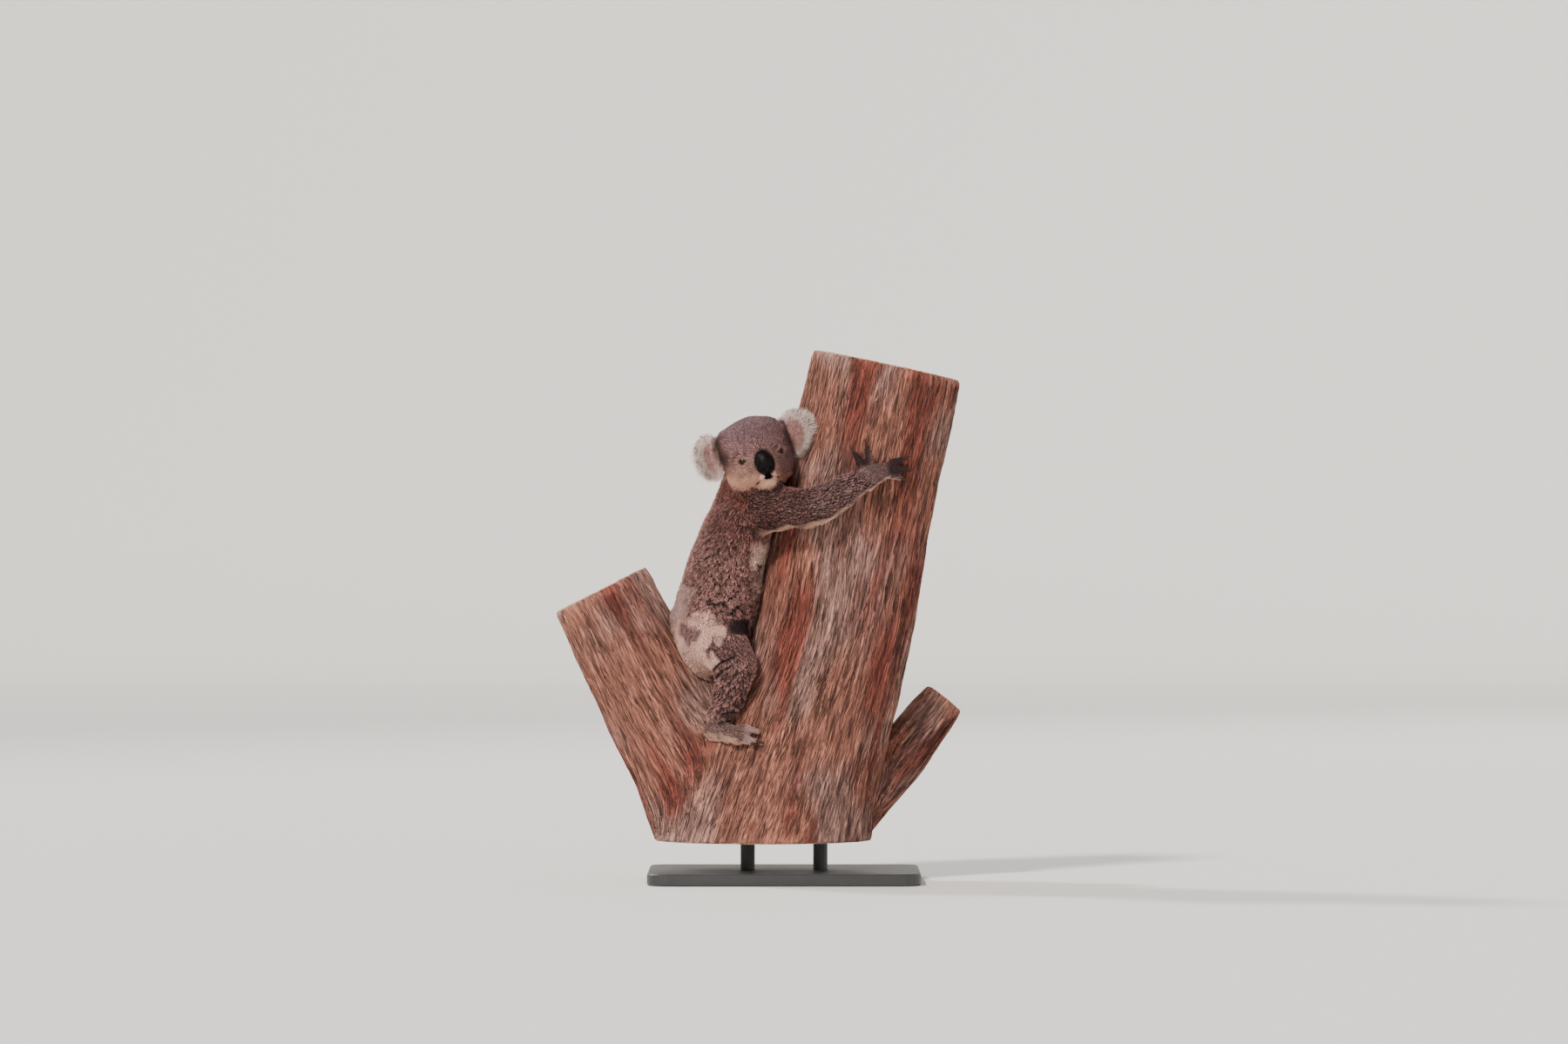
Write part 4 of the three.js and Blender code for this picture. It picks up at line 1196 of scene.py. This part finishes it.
class Limbs:
    """Which limb of the perch each point is on, and the way its grain runs."""

    def __init__(self, co):
        far, way = [], []
        for line in LIMB_LINES.values():
            ends = [(spot("perch", *place), radius) for place, radius in line]
            best = np.full(len(co), 1e9)
            along = np.zeros_like(co)
            for (a, ra), (b, rb) in zip(ends[:-1], ends[1:]):
                t = np.clip(((co - a) @ (b - a)) / ((b - a) @ (b - a)), 0, 1)
                off = length(co - a - t[:, None] * (b - a)) - (ra + t * (rb - ra))
                along[off < best] = unit(b - a)
                best = np.minimum(best, off)
            far.append(best)
            way.append(along)
        share = np.exp(-np.clip(np.array(far) - np.min(far, axis=0), 0, 1) / (9 * MM))
        self.share = share / share.sum(0)
        self.way = unit((self.share[..., None] * np.array(way)).sum(0))
        self.axes = [
            unit(spot("perch", *line[-1][0]) - spot("perch", *line[0][0]))
            for line in LIMB_LINES.values()
        ]

    def grain(self, co, stretch=GRAIN_STRETCH):
        """Points squeezed along each limb's grain, so that a pattern on them is drawn out."""
        waved = co + GRAIN_WAVE * wobble(co, 70 * MM, 31)
        return [waved - np.outer(waved @ axis, axis) * (1 - 1 / stretch) for axis in self.axes]

    def pattern(self, grains, size, seed):
        """Smooth noise along the grain."""
        return sum(
            s * noise(g, size, seed + 50 * k) for k, (s, g) in enumerate(zip(self.share, grains)))


def bark_relief(limbs, co):
    """Height of the bark from 0 in a furrow to 1 on a ridge, and how red it is."""
    grains = limbs.grain(co)
    broad = limbs.pattern(grains, 26 * MM, 40)
    ribs = 1 - np.abs(2 * limbs.pattern(grains, 13 * MM, 41) - 1) ** 0.8
    fine = limbs.pattern(grains, 8 * MM, 42)
    height = 0.1 * broad + 0.6 * ribs + 0.4 * fine - 0.06
    red = limbs.pattern(limbs.grain(co, 3.2), 60 * MM, 43) + 0.35 * (broad - 0.5)
    return np.clip(height, 0, 1), ramp(red, 0.5, 0.8)


def bark_tones(height, red, co):
    # Darker towards the furrows: partly the bark's own darker fibres and partly painted shade in them.
    t = 0.3 + 0.7 * ramp(height, 0.2, 0.9)[:, None]
    red = red[:, None]
    grey = ramp(noise(co, 90 * MM, 44), 0.4, 0.7)[:, None]
    ridge = BARK_TONES["ridge"] * (1 - grey) + BARK_TONES["grey"] * grey
    ridge = ridge * (1 - red) + BARK_TONES["red"] * red
    furrow = BARK_TONES["furrow"] * (1 - red) + BARK_TONES["red_furrow"] * red
    return furrow + (ridge - furrow) * t


def make_bark():
    bark = merged_copy("perch", "bark")
    apply(bark, "REMESH", mode="VOXEL", voxel_size=BARK_VOXEL)
    mesh = bark.data
    links = edges(mesh)
    co = places(mesh)
    limbs = Limbs(co)
    sawn = ramp(np.abs((normals(mesh) * limbs.way).sum(1)), 0.86, 0.95)  # it faces along the grain
    co = relax(co, links, 6, 0.5 * (1 - sawn))
    move_to(mesh, co)
    surface = normals(mesh)
    height, red = bark_relief(limbs, co)
    level = np.where(sawn > 0.5, 0, (height - BARK_LEVEL) * RIDGE) + lean_bulge(co, surface)
    move_to(mesh, co + surface * level[:, None])

    tones = bark_tones(height, red, co)
    stem = limbs.axes[0]
    rings = 0.82 + 0.18 * np.sin(length(co - (co @ stem)[:, None] * stem) / MM)
    tones += (sawn * (0.9 + 0.1 * rings))[:, None] * (BARK_TONES["sawn"] - tones)
    paint_tones(mesh, tones)
    grain = sum(s[:, None] * g for s, g in zip(limbs.share, limbs.grain(co)))
    store(mesh, "grain", "FLOAT_VECTOR", grain)
    store(mesh, "sawn", "FLOAT", sawn)
    finish_piece(bark, "bark", "bark", BARK, "perch")
    lay_strips(bark, limbs, sawn)


def lean_bulge(co, surface):
    """The stem swells a little to meet the koala that leans on it."""
    low, high = spot("torso", 1, 0.5, 0.2), spot("neck", 1, 0.5, 0.6)
    level = ramp(co[:, 2], low[2] - 60 * MM, low[2] + 20 * MM)
    level *= fade(co[:, 2], high[2], high[2] + 60 * MM)
    return BULGE * level * ramp(-surface[:, 0], 0.35, 0.9) * (co[:, 0] > low[0] - 60 * MM)


def lay_strips(bark, limbs, sawn):
    """Loose fibres and strips that follow the bark."""
    co, surface = places(bark.data), normals(bark.data)
    turf = Turf(bark, sawn < 0.2)
    turf.sow(STRIPS, np.ones(len(co)))
    at = turf.at_roots(co)
    up = unit(turf.at_roots(relax(surface, edges(bark.data), 8)))
    way = turf.at_roots(limbs.way)
    way = along_skin(way, up)
    way = turned(way, up, dice.normal(0, 0.05, STRIPS))
    side = unit(np.cross(way, up))
    long = dice.uniform(*STRIP_LENGTHS, STRIPS) * MM
    wide = dice.uniform(*STRIP_HALF_WIDTHS, STRIPS) * MM
    tree = BVHTree.FromObject(bark, bpy.context.evaluated_depsgraph_get())
    wave = dice.normal(0, 1.5, (STRIPS, 3)) * MM
    lines = np.empty((STRIPS, 3, 3))
    for k, s in enumerate(LOCK_LEVELS):
        p = at + way * (long * s)[:, None] + side * wave[:, k, None]
        hits = [tree.find_nearest(q) for q in p.tolist()]
        lines[:, k] = [h[0] for h in hits]
        lines[:, k] += up * dice.uniform(0.1, 1.2, STRIPS)[:, None] * MM
        inside = np.array([h[1].dot(Vector(u)) for h, u in zip(hits, up.tolist())]) > 0.6
        lines[~inside, k] = lines[~inside, k - 1] if k else at[~inside]
    height, red = bark_relief(Limbs(at), at)
    tones = bark_tones(0.35 * height + 0.5, red, at)
    tones = tones * (dice.uniform(0.3, 1.45, STRIPS) ** 1.8)[:, None]
    tones = [tones * 0.8, tones, tones * 0.85]
    strips = strands(
        "bark_strips", lines, up, side, wide, wide * FLATNESS, tones, turf.root_uv(), LOCK_LEVELS,
        STRIP_TAPER)
    finish_piece(strips, "bark_strips", "bark", FUR)


# -------------------------------------------------------------------- eyes, nose and claws

CORNEA = {"height": 0.7 * MM, "middle": 1 * MM, "edge": 6.2 * MM}
BEHIND_EYE = 20  # off the iris
NOSTRIL = {"x": 8.0, "z": -32, "half_width": 4.4, "half_height": 3.3, "depth": 5.0}
NOSTRIL_SLIT = np.array([(10, -32), (13, -27), (14, -23)])  # points (x, z) of its tail
NOSE_VOXEL = 1.0 * MM
CLAW_SWELL = 0.5


def make_eye(side):
    """An eyeball with a cornea that stands a little proud."""
    bpy.ops.object.select_all(action="DESELECT")
    bpy.ops.mesh.primitive_uv_sphere_add(segments=40, ring_count=28, radius=EYE_RADIUS)
    eye = bpy.context.active_object
    co = places(eye.data)
    flat = np.hypot(co[:, 0], co[:, 1])
    cornea = CORNEA["height"] * fade(flat, CORNEA["middle"], CORNEA["edge"])
    co[:, 2] += np.where(co[:, 2] > 0, cornea, 0)
    gaze = co / MM * [1, 1, 0]
    gaze[co[:, 2] < 0] = BEHIND_EYE
    store(eye.data, "gaze", "FLOAT_VECTOR", gaze)
    move_to(eye.data, co @ EYE_AXES[side] + EYES[side])
    finish_piece(eye, f"eyeball_{side}", "eye", EYE, f"eye_{side}")


def make_nose():
    """The nose pad, with comma-shaped nostrils and a groove between them."""
    nose = merged_copy("nose", "nose_pad")
    apply(nose, "REMESH", mode="VOXEL", voxel_size=NOSE_VOXEL)
    mesh = nose.data
    co = relax(places(mesh), edges(mesh), 24)
    move_to(mesh, co)
    h = to_head(co)
    front = ramp(-normals(mesh) @ HEAD_AXES[1], -0.1, 0.5)
    x, z = np.abs(h[:, 0]), h[:, 2]
    hole = (x - NOSTRIL["x"]) / NOSTRIL["half_width"], (z - NOSTRIL["z"]) / NOSTRIL["half_height"]
    hole = np.hypot(*hole)
    slit = off_line(np.stack([x, z], 1), NOSTRIL_SLIT) / 1.5
    hollow = np.maximum(np.exp(-(hole**2) * 1.4), 0.7 * np.exp(-(slit**2)))
    groove = np.exp(-((h[:, 0] / 1.3) ** 2)) * ramp(-z, 24, 32)
    rim = 0.8 * np.exp(-(((hole - 1.5) / 0.4) ** 2))
    push = rim - NOSTRIL["depth"] * hollow - 1.2 * groove
    h += (normals(mesh) @ HEAD_AXES.T) * (1.2 + push * front)[:, None]
    h[:, 1] -= 1.8 + 1.0 * ramp(-z, 16, 36)
    move_to(mesh, from_head(h))
    # The nostrils' hollows are painted darker: painted shade in them.
    paint_tones(mesh, 1.0 - 0.85 * (hollow * front)[:, None] * np.ones(3))
    finish_piece(nose, "nose_pad", "nose_skin", NOSE, "nose")


def make_claws():
    for limb, side in itertools.product(("hand", "foot"), LIMB_SIDES):
        nodes = [n for n in NODES if n.startswith(f"claw_{limb}_{side}")]
        claws = []
        for node in nodes:
            claw = merged_copy(node, "claw")
            apply(claw, "SUBSURF", levels=2, render_levels=2)
            move_to(claw.data, places(claw.data) + normals(claw.data) * CLAW_SWELL * MM)
            claws.append(claw)
        finish_piece(joined(claws, "claws"), f"claws_{limb}_{side}", "claw", CLAW, *nodes)


def finish_stand():
    for node in NODES:
        if node.startswith("stand"):
            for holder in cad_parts[node].material_slots:
                holder.material = STAND


# -------------------------------------------------------------------- make it


def make_animal():
    skin, owner = make_skin()
    for side in LIMB_SIDES:
        EYE_AXES[side] = eye_axes(places(skin.data), normals(skin.data), side)
    for side in LIMB_SIDES:
        owner = refine(skin, owner, EYES[side], EYE_DETAIL)
    owner = refine(skin, owner, from_head(MOUTH_DETAIL[0]), MOUTH_DETAIL[1])
    mouth = shape_face(skin)
    creases = shape_creases(skin, owner)
    links = edges(skin.data)
    coat = Coat(places(skin.data), normals(skin.data), owner, links, mouth, creases)
    clumps = Clumps(skin, coat.size)
    inner = swell_clumps(skin, coat, clumps)
    # The skin takes the roots' colour, painted darker in the gaps between clumps as shade, and under
    # the larger clumps some of their tips' colour.
    short = (0.6 * coat.gaps * ramp(coat.size, 4.5, 6) * inner**2)[:, None]
    under = coat.root * (0.5 + 0.4 * inner[:, None])
    paint_tones(skin.data, under + short * (0.85 * coat.tip - coat.root))
    coat.co, coat.surface = places(skin.data), normals(skin.data)
    coat.way = lie_of_coat(coat.co, coat.surface, owner, links)
    for title, (nodes, count, slot) in COAT_PIECES.items():
        wanted = np.isin(owner, [FLESH.index(n) for n in nodes])
        if title == "coat_torso":
            wanted &= coat.co[:, 1] <= MIDDLE
        if title == "coat_torso_left":
            wanted &= coat.co[:, 1] > MIDDLE
        piece = grow_coat(title, Turf(skin, wanted), count, coat, clumps)
        finish_piece(piece, title, slot, FUR)
    thin_skin(skin, owner)
    finish_piece(skin, "skin", "grey_fur", SKIN, *FLESH)


def thin_skin(skin, owner):
    """Takes faces out of the skin where the coat hides it, but not from the head and paws."""
    mesh = skin.data
    kept = np.isin(KINDS[owner], ("head", "ear", "hand", "foot"))
    group = skin.vertex_groups.new(name="body")
    group.add(np.flatnonzero(~kept).tolist(), 1, "REPLACE")
    mesh.calc_loop_triangles()
    apply(skin, "DECIMATE", ratio=SKIN_FACES / len(mesh.loop_triangles), vertex_group="body")
    skin.vertex_groups.clear()


make_animal()
for side in LIMB_SIDES:
    make_eye(side)
make_nose()
make_claws()
make_bark()
finish_stand()

# -------------------------------------------------------------------- stage

CAMERA = {"distance": 14.0, "height": 742.5 * MM, "lens": 155.6, "sensor": 36, "sight": 100}
BOWL = {"radius": 24, "middle": 16, "top": 13, "tone": (0.80, 0.79, 0.77, 1)}
SKY = {"tone": (0.86, 0.88, 0.92, 1), "strength": 0.42}
# By name: where the sun is, its strength, its size in degrees and its tone.
SUNS = {
    "key": ((-0.5, -0.9, 0.95), 3.9, 8, (1.0, 0.93, 0.86)),
    "rim": ((-0.8, 0.55, 0.75), 2.6, 8, (1.0, 0.96, 0.90)),
}


def make_stage():
    """A pale bowl: a flat floor that curves up into a wall all round."""
    bpy.ops.object.select_all(action="DESELECT")
    bpy.ops.mesh.primitive_uv_sphere_add(
        segments=128, ring_count=96, radius=BOWL["radius"], location=(0, 0, BOWL["middle"]))
    bpy.ops.object.transform_apply(location=True)
    bowl = bpy.context.active_object
    bowl.name = "studio_bowl"
    co = places(bowl.data)
    co[:, 2] = np.maximum(co[:, 2], 0)
    move_to(bowl.data, co)
    start_edit(bowl)
    bpy.ops.mesh.bisect(plane_co=(0, 0, BOWL["top"]), plane_no=(0, 0, 1), clear_outer=True)
    bpy.ops.mesh.select_all(action="SELECT")
    bpy.ops.mesh.flip_normals()
    end_edit()
    bowl.data.shade_smooth()
    bowl.data.materials.append(material("floor_paint", 0.85, Base_Color=BOWL["tone"]))
    world = bpy.data.worlds.new("studio")
    world.use_nodes = True
    background = world.node_tree.nodes["Background"]
    background.inputs["Color"].default_value = SKY["tone"]
    background.inputs["Strength"].default_value = SKY["strength"]
    bpy.context.scene.world = world


def add_sun(title, place, strength, angle, tone):
    lamp = bpy.data.lights.new(title, "SUN")
    lamp.energy = strength
    lamp.angle = math.radians(angle)
    lamp.color = tone
    put(title, lamp).rotation_euler = Vector(place).to_track_quat("Z", "Y").to_euler()


def make_camera():
    lens = bpy.data.cameras.new("camera")
    lens.lens = CAMERA["lens"]
    lens.sensor_width = CAMERA["sensor"]
    lens.clip_end = CAMERA["sight"]
    camera = put("camera", lens)
    camera.location = (0, -CAMERA["distance"], CAMERA["height"])
    camera.rotation_euler = (math.pi / 2, 0, 0)
    bpy.context.scene.camera = camera


make_stage()
make_camera()
for title, sun in SUNS.items():
    add_sun(title, *sun)
